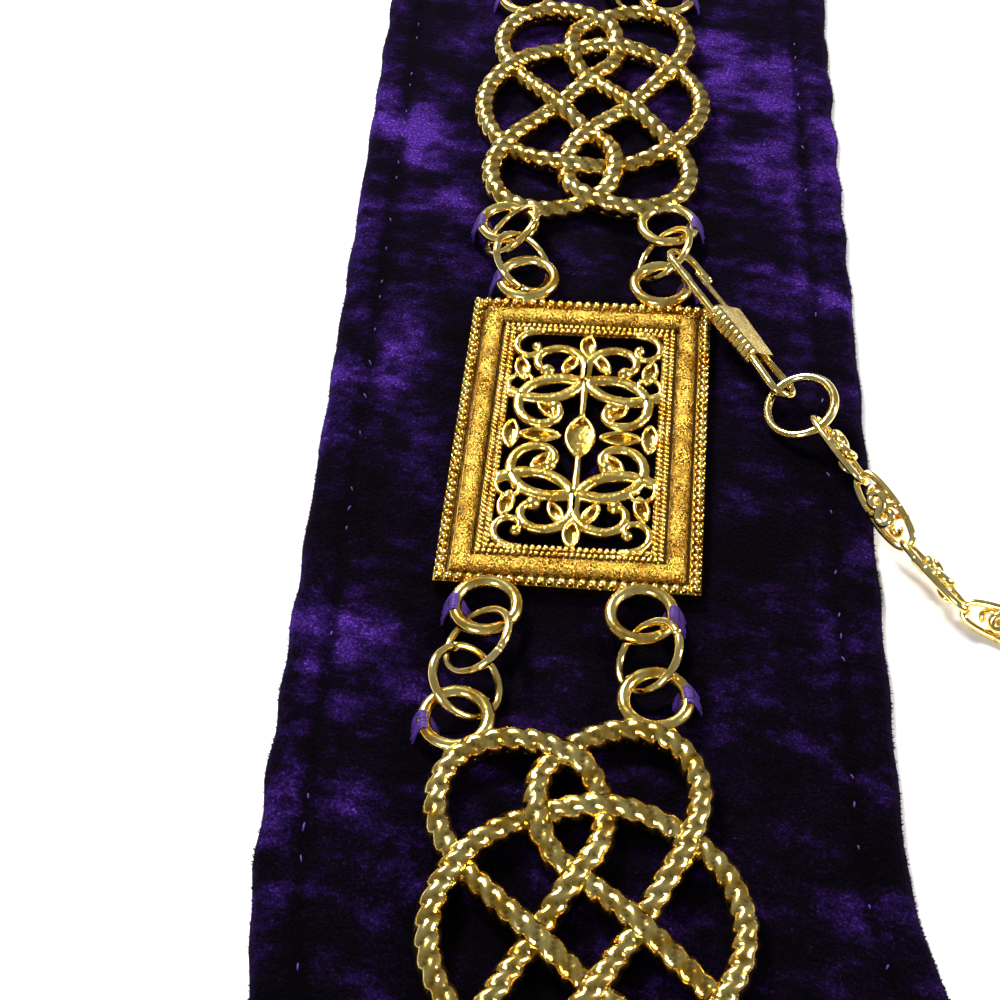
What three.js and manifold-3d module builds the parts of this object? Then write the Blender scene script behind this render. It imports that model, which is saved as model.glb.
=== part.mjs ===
// Velvet chain collar, lying flat, in millimetres
// +Z is up, the point of the collar is towards -Y, and the neck is towards +Y.
import * as THREE from 'three';
import { mergeVertices } from 'three/addons/utils/BufferGeometryUtils.js';
import { ConvexGeometry } from 'three/addons/geometries/ConvexGeometry.js';
import Module from 'manifold-3d';

const wasm = await Module();
wasm.setup();

// Clearances
const GAP = 0.3;
const RING_GAP = 0.3;
const FINENESS = 0.05;

// Velvet band
const BAND_WIDTH = 100;
const BAND_THICKNESS = 3;
const NECK_RADIUS = 115;
const ARM_ANGLE = THREE.MathUtils.degToRad(12);
const ARM_LENGTH = 211.2;
const BEND_RADIUS = 150;
const POINT_ANGLE = THREE.MathUtils.degToRad(40);
const NECK_STEPS = 16;
const BEND_STEPS = 5;

// Chain of cast links
const LINK_LIFT = BAND_THICKNESS + GAP;
const EYE_HEIGHT = 2.6;
const EYE_RADIUS = 5.2;
const EYE_WIRE = 2.1;
const EYE_PLANE = LINK_LIFT + EYE_HEIGHT;

// Knot links
const KNOT_HALF_WIDTH = 20.4;
const KNOT_HALF_LENGTH = 34.3;
const KNOT_ROD = 3.4;
const KNOT_HEIGHT = 3.4;
const OVAL_HALF_WIDTH = 23.2;
const OVAL_HALF_LENGTH = 20.9;
const OVAL_STEPS = 10;
const KNOT_EYE_ACROSS = 16;
const KNOT_EYE_ALONG = 39.2;

// One half of the knot's side loop, as shares of KNOT_HALF_WIDTH and KNOT_HALF_LENGTH
const LOOP_COLUMNS = { across: 0, along: 1 };
const LOOP_TABLE = [
  [0.38, -0.012],
  [0.85, 0.38],
  [1.0, 0.62],
  [0.86, 0.9],
  [0.5, 1.0],
  [0.06, 0.935],
  [-0.22, 0.745],
  [-0.225, 0.46],
  [0, 0.274],
];

// Framed plaque links
const PLAQUE_WIDTH = 45.4;
const PLAQUE_LENGTH = 70.2;
const FRAME_WIDTH = 8.8;
const FRAME_EDGE_HEIGHT = 2.4;
const FRAME_GROOVE_HEIGHT = 1.5;
const FRAME_CUSHION_HEIGHT = 3.3;
const PLAQUE_EYE_ACROSS = 13;
const PLAQUE_EYE_ALONG = 40.5;
const SCROLL_WIRE = 1.9;
const SCROLL_HEIGHT = 2.2;
const SCROLL_LIFT = 0.2;
const SCROLL_STEPS = 7;

// Moulding of the frame, from the outer edge inwards: shares of FRAME_WIDTH, heights by name
const MOULDING = [
  { share: 0, height: FRAME_EDGE_HEIGHT },
  { share: 0.14, height: FRAME_EDGE_HEIGHT },
  { share: 0.22, height: FRAME_GROOVE_HEIGHT },
  { share: 0.36, height: FRAME_CUSHION_HEIGHT - 0.4 },
  { share: 0.5, height: FRAME_CUSHION_HEIGHT },
  { share: 0.66, height: FRAME_CUSHION_HEIGHT - 0.5 },
  { share: 0.78, height: FRAME_GROOVE_HEIGHT },
  { share: 0.86, height: FRAME_EDGE_HEIGHT },
  { share: 1, height: FRAME_EDGE_HEIGHT },
];

// Jump rings
const JUMP_RADIUS = 6.3;
const JUMP_WIRE = 1.5;
const RING_STEPS = 10;
const WIRE_SIDES = 5;
const EYE_SPAN = 17.7;
const LINK_PITCH = KNOT_EYE_ALONG + PLAQUE_EYE_ALONG + EYE_SPAN;
const CROSSING_SLANT = 1.17;
const TAUT = 0.97;

// Two rings that lie bunched between close eyes
const BUNCH_SPAN = 19.6;
const BUNCH_ALONG = 3.65;
const BUNCH_RISE = 1.2;
const BUNCH_ROLL = THREE.MathUtils.degToRad(34);
const BUNCH_PITCH = THREE.MathUtils.degToRad(-20);

// Hollows that the rings press into the padded band
const PRESS_WALL = 1;
const PRESS_MARGIN = 0.9;
const PRESS_SLOPE = 1.5;
const HOLLOW_SIDES = 6;

// Point ring, from which a jewel can hang
const POINT_RING_RADIUS = 12;
const POINT_RING_WIRE = 2.2;
const POINT_RING_DROP = 5;

// Snap hooks, in a frame along the hook from its top to its eye
const HOOK_WIRE = 1.6;
const HOOK_HALF_WIDTH = 3.1;
const SLEEVE_START = 19;
const SLEEVE_LENGTH = 13.7;
const SLEEVE_WIDE = 7.4;
const SLEEVE_NARROW = 5.4;
const SLEEVE_HEIGHT = 3.2;
const SLEEVE_GRIP = 1.5;
const HOOK_LENGTH = 43.5;
const EYE_HALF_WIDTH = 2.6;
const TIP_LENGTH = 9;
const TONGUE_WIRE = 1.1;
const TONGUE_LAP = 2.2;
const TONGUE_ROOT = 4;
const TONGUE_PIVOT = 2;
const TONGUE_PLAY = 0.75;

// Place of the hook on its plaque: across, along and above the eyes, then yaw, pitch and roll
const HOOK_ACROSS = 15.3;
const HOOK_ALONG = 47.8;
const HOOK_RISE = 2.6;
const HOOK_YAW = THREE.MathUtils.degToRad(-59);
const HOOK_PITCH = THREE.MathUtils.degToRad(2.6);
const HOOK_ROLL = THREE.MathUtils.degToRad(-33.5);

// Big rings that join the hooks to the chest chain
const BIG_RING_RADIUS = 6.2;
const BIG_RING_WIRE = 1.7;
const BIG_RING_YAW = THREE.MathUtils.degToRad(-62);
const BIG_RING_ROLL = THREE.MathUtils.degToRad(23);
const BIG_RING_ALONG = 46.2;
const BIG_RING_ASIDE = 0.1;
const BIG_RING_RISE = 0.7;

// Chest chain of scrolled links
const CHAIN_LINK_LENGTH = 17.6;
const CHAIN_LINK_WIDTH = 6.4;
const CHAIN_WIRE = 1.3;
const CHAIN_TILT = THREE.MathUtils.degToRad(47);
const CHAIN_SCROLL_REACH = 3.5;
const CHAIN_SCROLL_WIRE = 1;
const CHAIN_STEPS = 6;
const CHAIN_LAP = 0.15;
const CHAIN_PITCH = CHAIN_LINK_LENGTH - 2 * CHAIN_WIRE + CHAIN_LAP;
const CHAIN_START = 12;
const CHAIN_START_TURN = THREE.MathUtils.degToRad(-46.5);
const CHAIN_HIGH = 6.6;
const CHAIN_LOW = 2.9;

// Links of the chest chain on the side of -X, from the ring to the middle: slope and share of the rise
const CHAIN_LINKS = [
  { slope: 50, rise: 1 },
  { slope: 50, rise: 0.8 },
  { slope: 42, rise: 0.25 },
  { slope: 14, rise: 0 },
];

const gold = new THREE.MeshStandardMaterial({ color: 0xd9a52e, roughness: 0.25, metalness: 1 });
const paleGold = new THREE.MeshStandardMaterial({ color: 0xe6bd52, roughness: 0.2, metalness: 1 });
const velvet = new THREE.MeshStandardMaterial({ color: 0x2b0f5c, roughness: 0.9, metalness: 0 });

const collar = new THREE.Group();

function addMesh(name, geometry, material, parent = collar) {
  const mesh = new THREE.Mesh(geometry, material.clone());
  mesh.name = name;
  parent.add(mesh);
  return mesh;
}

// Solids and geometries
function solidOf(geometry, matrix = new THREE.Matrix4()) {
  const bare = geometry.clone();
  bare.deleteAttribute('normal');
  bare.deleteAttribute('uv');
  const merged = mergeVertices(bare.applyMatrix4(matrix), 1e-4);
  const corners = new Uint32Array(merged.index.array);
  if (matrix.determinant() < 0) corners.reverse();
  const mesh = new wasm.Mesh({
    numProp: 3,
    vertProperties: new Float32Array(merged.attributes.position.array),
    triVerts: corners,
  });
  return new wasm.Manifold(mesh);
}

function geometryOf(solid) {
  const mesh = solid.getMesh();
  const geometry = new THREE.BufferGeometry();
  geometry.setAttribute('position', new THREE.BufferAttribute(new Float32Array(mesh.vertProperties), 3));
  geometry.setIndex(new THREE.BufferAttribute(new Uint32Array(mesh.triVerts), 1));
  geometry.computeVertexNormals();
  return geometry;
}

function fuse(solids) {
  const whole = solids.reduce((joined, solid) => joined.add(solid));
  return geometryOf(whole.asOriginal().simplify(FINENESS));
}

// A mesh made of sections, each joined to the next; open runs get flat ends
// Seen along the route, each section runs clockwise.
function skin(rings, closed) {
  const sides = rings[0].length;
  const positions = rings.flat().flatMap((p) => [p.x, p.y, p.z]);
  const index = [];
  const runs = closed ? rings.length : rings.length - 1;
  for (let i = 0; i < runs; i += 1) {
    const here = i * sides;
    const next = ((i + 1) % rings.length) * sides;
    for (let k = 0; k < sides; k += 1) {
      const l = (k + 1) % sides;
      index.push(here + k, here + l, next + l, here + k, next + l, next + k);
    }
  }
  if (!closed) {
    const last = (rings.length - 1) * sides;
    for (let k = 1; k < sides - 1; k += 1) {
      index.push(0, k + 1, k, last, last + k, last + k + 1);
    }
  }
  const geometry = new THREE.BufferGeometry();
  geometry.setAttribute('position', new THREE.Float32BufferAttribute(positions, 3));
  geometry.setIndex(index);
  return geometry;
}

// A flat cast bar that follows a plan route at one height
function castBar(route, closed, widths, base, height) {
  const count = route.length;
  const rings = route.map((point, i) => {
    const before = closed || i > 0 ? route[(i + count - 1) % count] : null;
    const after = closed || i < count - 1 ? route[(i + 1) % count] : null;
    const into = before ? point.clone().sub(before).normalize() : after.clone().sub(point).normalize();
    const out = after ? after.clone().sub(point).normalize() : into.clone();
    const along = into.clone().add(out).normalize();
    const stretch = 1 / Math.max(along.dot(into), 0.45);
    const side = new THREE.Vector2(-along.y, along.x).multiplyScalar(stretch);
    const half = (typeof widths === 'number' ? widths : widths[i]) / 2;
    const corner = (share, z) => {
      const place = point.clone().addScaledVector(side, share * half);
      return new THREE.Vector3(place.x, place.y, z);
    };
    return [
      corner(1, base),
      corner(1, base + height),
      corner(-1, base + height),
      corner(-1, base),
    ];
  });
  return skin(rings, closed);
}

// A round wire along a route in space, as a chain of sections square to the route
function wire(points, diameter, closed, sides = WIRE_SIDES, up = new THREE.Vector3(0, 0, 1)) {
  const count = points.length;
  const rings = points.map((point, i) => {
    const before = closed ? points[(i + count - 1) % count] : points[Math.max(i - 1, 0)];
    const after = closed ? points[(i + 1) % count] : points[Math.min(i + 1, count - 1)];
    const along = after.clone().sub(before).normalize();
    const across = new THREE.Vector3().crossVectors(up, along).normalize();
    const over = new THREE.Vector3().crossVectors(along, across);
    return Array.from({ length: sides }, (_, k) => {
      const turn = (2 * Math.PI * k) / sides;
      return point
        .clone()
        .addScaledVector(across, (Math.cos(turn) * diameter) / 2)
        .addScaledVector(over, (Math.sin(turn) * diameter) / 2);
    });
  });
  return skin(rings, closed);
}

function ringGeometry(radius, wireDiameter) {
  return new THREE.TorusGeometry(radius, wireDiameter / 2, WIRE_SIDES, RING_STEPS);
}

// Centre line of the band, from the middle of the neck down to the point, on the side of -X
const NECK_TURN = Math.PI / 2 + ARM_ANGLE;
const NECK_LENGTH = NECK_RADIUS * NECK_TURN;
const BEND_TURN = POINT_ANGLE - ARM_ANGLE;
const BEND_LENGTH = BEND_RADIUS * BEND_TURN;

function headingOf(turn) {
  return new THREE.Vector2(-Math.cos(turn), -Math.sin(turn));
}

function centreLine(station) {
  const neckTurn = Math.min(station / NECK_RADIUS, NECK_TURN);
  const point = new THREE.Vector2(-Math.sin(neckTurn), Math.cos(neckTurn)).multiplyScalar(NECK_RADIUS);
  const arm = Math.min(Math.max(station - NECK_LENGTH, 0), ARM_LENGTH);
  point.addScaledVector(headingOf(NECK_TURN), arm);
  const bend = Math.min(Math.max(station - NECK_LENGTH - ARM_LENGTH, 0), BEND_LENGTH);
  const turned = NECK_TURN + bend / BEND_RADIUS;
  const inwards = (turn) => new THREE.Vector2(Math.sin(turn), -Math.cos(turn));
  point.addScaledVector(inwards(NECK_TURN), BEND_RADIUS);
  point.addScaledVector(inwards(turned), -BEND_RADIUS);
  const turn = station < NECK_LENGTH ? neckTurn : turned;
  return { point, turn, heading: headingOf(turn), inward: inwards(turn) };
}

const bendEnd = centreLine(NECK_LENGTH + ARM_LENGTH + BEND_LENGTH);
const POINT_RUN = -bendEnd.point.x / Math.sin(POINT_ANGLE);
const pointY = bendEnd.point.y - POINT_RUN * Math.cos(POINT_ANGLE);
const mitreReach = BAND_WIDTH / 2 / Math.sin(POINT_ANGLE);
const bandTop = NECK_RADIUS + BAND_WIDTH / 2;
const bandBottom = pointY - mitreReach;
const ORIGIN_Y = (bandTop + bandBottom) / 2;

// One edge of the band, from the neck to the point, set off inwards or outwards
function bandEdge(offset) {
  const stations = [];
  for (let i = 0; i <= NECK_STEPS; i += 1) stations.push((NECK_LENGTH * i) / NECK_STEPS);
  for (let i = 0; i <= BEND_STEPS; i += 1) {
    stations.push(NECK_LENGTH + ARM_LENGTH + (BEND_LENGTH * i) / BEND_STEPS);
  }
  const points = stations.map((station) => {
    const place = centreLine(station);
    return place.point.addScaledVector(place.inward, offset);
  });
  points.push(new THREE.Vector2(0, pointY + (mitreReach * offset) / (BAND_WIDTH / 2)));
  return points;
}

function wholeLoop(half) {
  const mirrored = half.slice(1, -1).reverse().map((p) => new THREE.Vector2(-p.x, p.y));
  return half.concat(mirrored);
}

// Links of one side, from the neck to the point: station in pitches, shift outwards, turn in degrees
// and the rings in the inner and outer row that join each to the link before it
const LINK_ROWS = [
  { kind: 'knot', station: 0.505, outward: 6, turn: 0, inner: 1, outer: 4 },
  { kind: 'plaque', station: 1.533, outward: 5, turn: 0, inner: 1, outer: 4 },
  { kind: 'knot', station: 2.487, outward: 2, turn: 0, inner: 1, outer: 2 },
  { kind: 'plaque', station: 3.479, outward: 2, turn: 2.1, inner: 1, outer: 2 },
  { kind: 'knot', station: 4.499, outward: 0, turn: 0, inner: 1, outer: 2 },
];

const EYE_PLACES = {
  knot: { across: KNOT_EYE_ACROSS, along: KNOT_EYE_ALONG },
  plaque: { across: PLAQUE_EYE_ACROSS, along: PLAQUE_EYE_ALONG },
};

function linkPlace(row) {
  const place = centreLine(row.station * LINK_PITCH);
  const centre = place.point.clone().addScaledVector(place.inward, -row.outward);
  const lean = place.turn - Math.PI / 2 - THREE.MathUtils.degToRad(row.turn);
  return { ...row, centre, lean };
}

function eyeOf(place, across, along) {
  const eye = EYE_PLACES[place.kind];
  const offset = new THREE.Vector2(across * eye.across, along * eye.along);
  return offset.rotateAround(new THREE.Vector2(), place.lean).add(place.centre);
}

// The four mirrored quarters of a link
function quarters() {
  return [[1, 1], [-1, 1], [-1, -1], [1, -1]].map(([x, y]) => new THREE.Matrix4().makeScale(x, y, 1));
}

// Eyes soldered to the four corners of a link
function eyes(across, along) {
  const eye = ringGeometry(EYE_RADIUS, EYE_WIRE).translate(across, along, EYE_HEIGHT);
  return quarters().map((quarter) => solidOf(eye, quarter));
}

function knotGeometry() {
  const upper = LOOP_TABLE.map((row) => new THREE.Vector2(
    row[LOOP_COLUMNS.across] * KNOT_HALF_WIDTH,
    row[LOOP_COLUMNS.along] * KNOT_HALF_LENGTH,
  ));
  const loop = castBar(upper, true, KNOT_ROD, 0, KNOT_HEIGHT);
  const solids = quarters().map((quarter) => solidOf(loop, quarter));
  const oval = Array.from({ length: OVAL_STEPS }, (_, i) => {
    const turn = (2 * Math.PI * (i + 0.5)) / OVAL_STEPS;
    return new THREE.Vector2(OVAL_HALF_WIDTH * Math.cos(turn), OVAL_HALF_LENGTH * Math.sin(turn));
  });
  solids.push(solidOf(castBar(oval, true, KNOT_ROD, 0, KNOT_HEIGHT)));
  return fuse(solids.concat(eyes(KNOT_EYE_ACROSS, KNOT_EYE_ALONG)));
}

function frameGeometry() {
  const profile = MOULDING.map((row) => ({ inset: row.share * FRAME_WIDTH, z: row.height }));
  profile.push({ inset: FRAME_WIDTH, z: 0 }, { inset: 0, z: 0 });
  profile.reverse();
  const corners = [[1, 1], [-1, 1], [-1, -1], [1, -1]];
  const rings = corners.map(([sx, sy]) => profile.map((p) => new THREE.Vector3(
    sx * (PLAQUE_WIDTH / 2 - p.inset),
    sy * (PLAQUE_LENGTH / 2 - p.inset),
    p.z,
  )));
  return skin(rings, true);
}

// A scroll that winds in from its foot to a curled end, narrowing as it goes
function scroll(foot, centre, turns, endRadius) {
  const start = foot.clone().sub(centre);
  const radius = start.length();
  const angle = start.angle();
  const steps = Array.from({ length: SCROLL_STEPS + 1 }, (_, i) => i / SCROLL_STEPS);
  const route = steps.map((share) => {
    const reach = radius + (endRadius - radius) * Math.pow(share, 0.75);
    const turn = angle + turns * 2 * Math.PI * share;
    return new THREE.Vector2(Math.cos(turn), Math.sin(turn)).multiplyScalar(reach).add(centre);
  });
  const widths = steps.map((share) => SCROLL_WIRE * (1.15 - 0.45 * share));
  return castBar(route, false, widths, SCROLL_LIFT, SCROLL_HEIGHT);
}

function plaqueGeometry() {
  const halfAcross = PLAQUE_WIDTH / 2 - FRAME_WIDTH;
  const halfAlong = PLAQUE_LENGTH / 2 - FRAME_WIDTH;
  const solids = [solidOf(frameGeometry())];
  const place = (share, rise) => new THREE.Vector2(share * halfAcross, rise * halfAlong);
  const scrolls = [
    scroll(place(1.04, 0.42), place(0.46, 0.68), -1.05, 1.6),
    scroll(place(0, 0.52), place(0.45, 0.25), -0.95, 1.4),
  ];
  for (const quarter of quarters()) solids.push(...scrolls.map((piece) => solidOf(piece, quarter)));
  return fuse(solids.concat(eyes(PLAQUE_EYE_ACROSS, PLAQUE_EYE_ALONG)));
}

// Tilt that lets a jump ring pass over one side of an eye and under the other
function crossingTilt(distance, radius, wireDiameter) {
  const reach = (distance ** 2 + radius ** 2 - JUMP_RADIUS ** 2) / (2 * distance);
  const lateral = Math.sqrt(radius ** 2 - reach ** 2);
  const clear = (wireDiameter + JUMP_WIRE) / 2 + RING_GAP;
  return Math.asin((clear * CROSSING_SLANT) / lateral);
}

const pressed = [];

function placeRing(group, name, centre, rise, yaw, pitch, roll) {
  const ring = addMesh(name, ringGeometry(JUMP_RADIUS, JUMP_WIRE), paleGold, group);
  ring.position.set(centre.x, centre.y, EYE_PLANE + rise);
  ring.rotation.set(roll, pitch, yaw, 'ZYX');
  return centre;
}

// A row of jump rings from one eye to the next, each tilted the other way from the one before
// A row that is asked for too few rings to reach gets more.
function ringRow(group, name, from, to, least, endRadius = EYE_RADIUS, endWire = EYE_WIRE) {
  const way = to.clone().sub(from);
  const span = way.length();
  const first = EYE_RADIUS + JUMP_RADIUS - (EYE_WIRE + JUMP_WIRE) / 2;
  const step = 2 * JUMP_RADIUS - JUMP_WIRE;
  const last = endRadius + JUMP_RADIUS - (endWire + JUMP_WIRE) / 2;
  const count = Math.max(least, Math.ceil((span / TAUT - first - last) / step) + 1);
  const yaw = way.angle();
  const centres = [];
  if (count === 2 && span < BUNCH_SPAN) {
    const share = BUNCH_ALONG / span;
    const near = from.clone().addScaledVector(way, share);
    const far = to.clone().addScaledVector(way, -share);
    centres.push(placeRing(group, `${name}_1`, near, BUNCH_RISE, yaw, BUNCH_PITCH, BUNCH_ROLL));
    centres.push(placeRing(group, `${name}_2`, far, BUNCH_RISE, yaw + Math.PI, BUNCH_PITCH, BUNCH_ROLL));
    return centres;
  }
  const slack = span / (first + step * (count - 1) + last);
  const tilt = crossingTilt(first * slack, EYE_RADIUS, EYE_WIRE);
  for (let i = 0; i < count; i += 1) {
    const along = (first + step * i) * slack;
    const centre = from.clone().addScaledVector(way, along / span);
    const label = count === 1 ? name : `${name}_${i + 1}`;
    centres.push(placeRing(group, label, centre, 0, yaw, 0, i % 2 ? -tilt : tilt));
  }
  return centres;
}

const places = LINK_ROWS.map((row) => linkPlace(row));
const geometries = { knot: knotGeometry(), plaque: plaqueGeometry() };
const sides = { left: new THREE.Group(), right: new THREE.Group() };
sides.right.scale.x = -1;

const pointRingCentre = new THREE.Vector2(0, eyeOf(places[places.length - 1], 1, -1).y - POINT_RING_DROP);

for (const [side, group] of Object.entries(sides)) {
  collar.add(group);
  places.forEach((place, i) => {
    const number = Math.floor(i / 2) + 1;
    const link = addMesh(`${place.kind}_link_${side}_${number}`, geometries[place.kind], gold, group);
    link.position.set(place.centre.x, place.centre.y, LINK_LIFT);
    link.rotation.z = place.lean;
    if (i === 0) return;
    const before = places[i - 1];
    const inner = ringRow(group, `jump_ring_${side}_${i}_inner`, eyeOf(before, 1, -1), eyeOf(place, 1, 1), place.inner);
    const outer = ringRow(group, `jump_ring_${side}_${i}_outer`, eyeOf(before, -1, -1), eyeOf(place, -1, 1), place.outer);
    pressed.push({ side, centres: inner.concat(outer) });
  });
  const lowest = eyeOf(places[places.length - 1], 1, -1);
  const run = ringRow(group, `jump_ring_${side}_point`, lowest, pointRingCentre, 2, POINT_RING_RADIUS, POINT_RING_WIRE);
  pressed.push({ side, centres: run });
}

// Rings at the middle of the neck, and the ring at the point
const neckEyes = [1, -1].map((across) => {
  const eye = eyeOf(places[0], across, 1);
  return { eye, twin: new THREE.Vector2(-eye.x, eye.y) };
});
const neckInner = ringRow(collar, 'jump_ring_neck_inner', neckEyes[0].eye, neckEyes[0].twin, places[0].inner);
const neckOuter = ringRow(collar, 'jump_ring_neck_outer', neckEyes[1].eye, neckEyes[1].twin, places[0].outer);
pressed.push({ side: 'middle', centres: neckInner.concat(neckOuter) });
const pointRing = addMesh('point_ring', ringGeometry(POINT_RING_RADIUS, POINT_RING_WIRE), gold);
pointRing.position.set(pointRingCentre.x, pointRingCentre.y, EYE_PLANE);

// Velvet band with its pressed hollows
function hollowGeometry(centres) {
  const points = [];
  const levels = [
    { z: PRESS_WALL, reach: JUMP_RADIUS + PRESS_MARGIN },
    { z: BAND_THICKNESS + GAP, reach: JUMP_RADIUS + PRESS_MARGIN + PRESS_SLOPE },
  ];
  for (const centre of centres) {
    for (const level of levels) {
      for (let k = 0; k < HOLLOW_SIDES; k += 1) {
        const turn = (2 * Math.PI * k) / HOLLOW_SIDES;
        points.push(new THREE.Vector3(
          centre.x + level.reach * Math.cos(turn),
          centre.y + level.reach * Math.sin(turn),
          level.z,
        ));
      }
    }
  }
  return new ConvexGeometry(points);
}

const outline = new THREE.Shape(wholeLoop(bandEdge(-BAND_WIDTH / 2)));
outline.holes.push(new THREE.Path(wholeLoop(bandEdge(BAND_WIDTH / 2))));
let bandSolid = solidOf(new THREE.ExtrudeGeometry(outline, { depth: BAND_THICKNESS, bevelEnabled: false }));
for (const { side, centres } of pressed) {
  const mirrored = centres.map((c) => new THREE.Vector2(side === 'right' ? -c.x : c.x, c.y));
  bandSolid = bandSolid.subtract(solidOf(hollowGeometry(mirrored)));
}
addMesh('velvet_band', geometryOf(bandSolid), velvet);

// Snap hook: hook wire, crimped sleeve and eye loop in one piece, and its springy tongue
const hookArcCentre = HOOK_HALF_WIDTH + HOOK_WIRE / 2;
const loopCentre = HOOK_LENGTH - HOOK_WIRE / 2 - EYE_HALF_WIDTH;
const sleeveEnd = SLEEVE_START + SLEEVE_LENGTH;
const tongueSide = HOOK_HALF_WIDTH - HOOK_WIRE / 2;
const tipSide = tongueSide + (HOOK_WIRE + TONGUE_WIRE) / 2 - TONGUE_WIRE / 2 + GAP;

function arcPoints(centreX, radius, from, to, steps) {
  return Array.from({ length: steps + 1 }, (_, i) => {
    const turn = from + ((to - from) * i) / steps;
    return new THREE.Vector3(centreX + radius * Math.cos(turn), radius * Math.sin(turn), 0);
  });
}

function sleeveGeometry() {
  const section = (x, width) => [
    new THREE.Vector3(x, -width / 2, -SLEEVE_HEIGHT / 2),
    new THREE.Vector3(x, width / 2, -SLEEVE_HEIGHT / 2),
    new THREE.Vector3(x, width / 2, SLEEVE_HEIGHT / 2),
    new THREE.Vector3(x, -width / 2, SLEEVE_HEIGHT / 2),
  ];
  return skin([section(SLEEVE_START, SLEEVE_WIDE), section(sleeveEnd, SLEEVE_NARROW)], false);
}

function hookGeometry() {
  const hookRoute = [
    new THREE.Vector3(SLEEVE_START + SLEEVE_GRIP, -HOOK_HALF_WIDTH + HOOK_WIRE / 4, 0),
    ...arcPoints(hookArcCentre, HOOK_HALF_WIDTH, -Math.PI / 2, -Math.PI * 1.5, 6),
    new THREE.Vector3(TIP_LENGTH, HOOK_HALF_WIDTH + GAP, 0),
  ];
  const eyeRoute = [
    new THREE.Vector3(sleeveEnd - SLEEVE_GRIP, -SLEEVE_NARROW / 2 + HOOK_WIRE / 2, 0),
    ...arcPoints(loopCentre, EYE_HALF_WIDTH, -Math.PI / 2, Math.PI / 2, 5),
    new THREE.Vector3(sleeveEnd - SLEEVE_GRIP, SLEEVE_NARROW / 2 - HOOK_WIRE / 2, 0),
  ];
  const slot = new THREE.BoxGeometry(
    TONGUE_ROOT + GAP + HOOK_WIRE,
    TONGUE_WIRE + 2 * TONGUE_PLAY,
    TONGUE_WIRE + 2 * GAP,
  );
  const slotPlace = new THREE.Matrix4().makeTranslation(
    SLEEVE_START + (TONGUE_ROOT + GAP - HOOK_WIRE) / 2,
    tongueSide,
    0,
  );
  const sleeve = solidOf(sleeveGeometry()).subtract(solidOf(slot, slotPlace));
  return fuse([sleeve, solidOf(wire(hookRoute, HOOK_WIRE, false)), solidOf(wire(eyeRoute, HOOK_WIRE, false))]);
}

function tongueGeometry() {
  const end = tipSide - (HOOK_WIRE + TONGUE_WIRE) / 2 - GAP;
  return wire([
    new THREE.Vector3(SLEEVE_START + TONGUE_ROOT, tongueSide, 0),
    new THREE.Vector3(SLEEVE_START, tongueSide, 0),
    new THREE.Vector3(TIP_LENGTH - TONGUE_LAP, end, 0),
  ], TONGUE_WIRE, false);
}

// Chest chain: long open links, each with a scroll inside, turned crosswise to one another
function chainLinkSolids(stop) {
  const half = CHAIN_LINK_LENGTH / 2 - CHAIN_WIRE / 2;
  const side = CHAIN_LINK_WIDTH / 2 - CHAIN_WIRE / 2;
  const oval = Array.from({ length: CHAIN_STEPS }, (_, k) => {
    const turn = (2 * Math.PI * (k + 0.5)) / CHAIN_STEPS;
    const reach = Math.sign(Math.cos(turn)) * (half - side) + side * Math.cos(turn);
    return new THREE.Vector3(reach, side * Math.sin(turn), 0);
  });
  const scrollRoute = [-1, 1].map((end) => new THREE.Vector3(end * CHAIN_SCROLL_REACH, end * side, 0));
  const matrix = new THREE.Matrix4().makeRotationFromEuler(new THREE.Euler(stop.roll, stop.pitch, stop.yaw, 'ZYX'));
  matrix.setPosition(stop.x, stop.y, stop.z);
  const mirrored = matrix.clone().premultiply(new THREE.Matrix4().makeScale(-1, 1, 1));
  const pieces = [wire(oval, CHAIN_WIRE, true), wire(scrollRoute, CHAIN_SCROLL_WIRE, false, 4)];
  return pieces.flatMap((piece) => [solidOf(piece, matrix), solidOf(piece, mirrored)]);
}

// The chain hangs in a shallow curve whose slopes are set so that its two halves meet in the middle
function chainStops(ringCentre) {
  const heights = CHAIN_LINKS.map((link) => CHAIN_LOW + (CHAIN_HIGH - CHAIN_LOW) * link.rise);
  const layOut = (steepness) => {
    const turns = CHAIN_LINKS.map((link, i) => -THREE.MathUtils.degToRad(link.slope) * (i ? steepness : 1));
    const stops = [{
      x: ringCentre.x + CHAIN_START * Math.cos(CHAIN_START_TURN),
      y: ringCentre.y + CHAIN_START * Math.sin(CHAIN_START_TURN),
    }];
    for (let i = 1; i < turns.length; i += 1) {
      const reach = Math.sqrt(CHAIN_PITCH ** 2 - (heights[i - 1] - heights[i]) ** 2);
      const turn = (turns[i - 1] + turns[i]) / 2;
      stops.push({ x: stops[i - 1].x + reach * Math.cos(turn), y: stops[i - 1].y + reach * Math.sin(turn) });
    }
    return stops.map((stop, i) => ({ ...stop, z: heights[i], yaw: turns[i] }));
  };
  let gentle = 0;
  let steep = 2;
  for (let i = 0; i < 30; i += 1) {
    const middle = (gentle + steep) / 2;
    if (layOut(middle).at(-1).x > -CHAIN_PITCH / 2) gentle = middle;
    else steep = middle;
  }
  return layOut(steep);
}

function chestChainGeometry(ringCentre) {
  const stops = chainStops(ringCentre);
  return fuse(stops.flatMap((stop, i) => {
    const before = stops[Math.max(i - 1, 0)];
    const after = stops[i + 1] ?? stop;
    const fall = Math.atan2(before.z - after.z, Math.hypot(after.x - before.x, after.y - before.y));
    const pitch = i === stops.length - 1 ? 0 : fall;
    return chainLinkSolids({ ...stop, pitch, roll: i % 2 ? CHAIN_TILT : -CHAIN_TILT });
  }));
}

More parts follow.
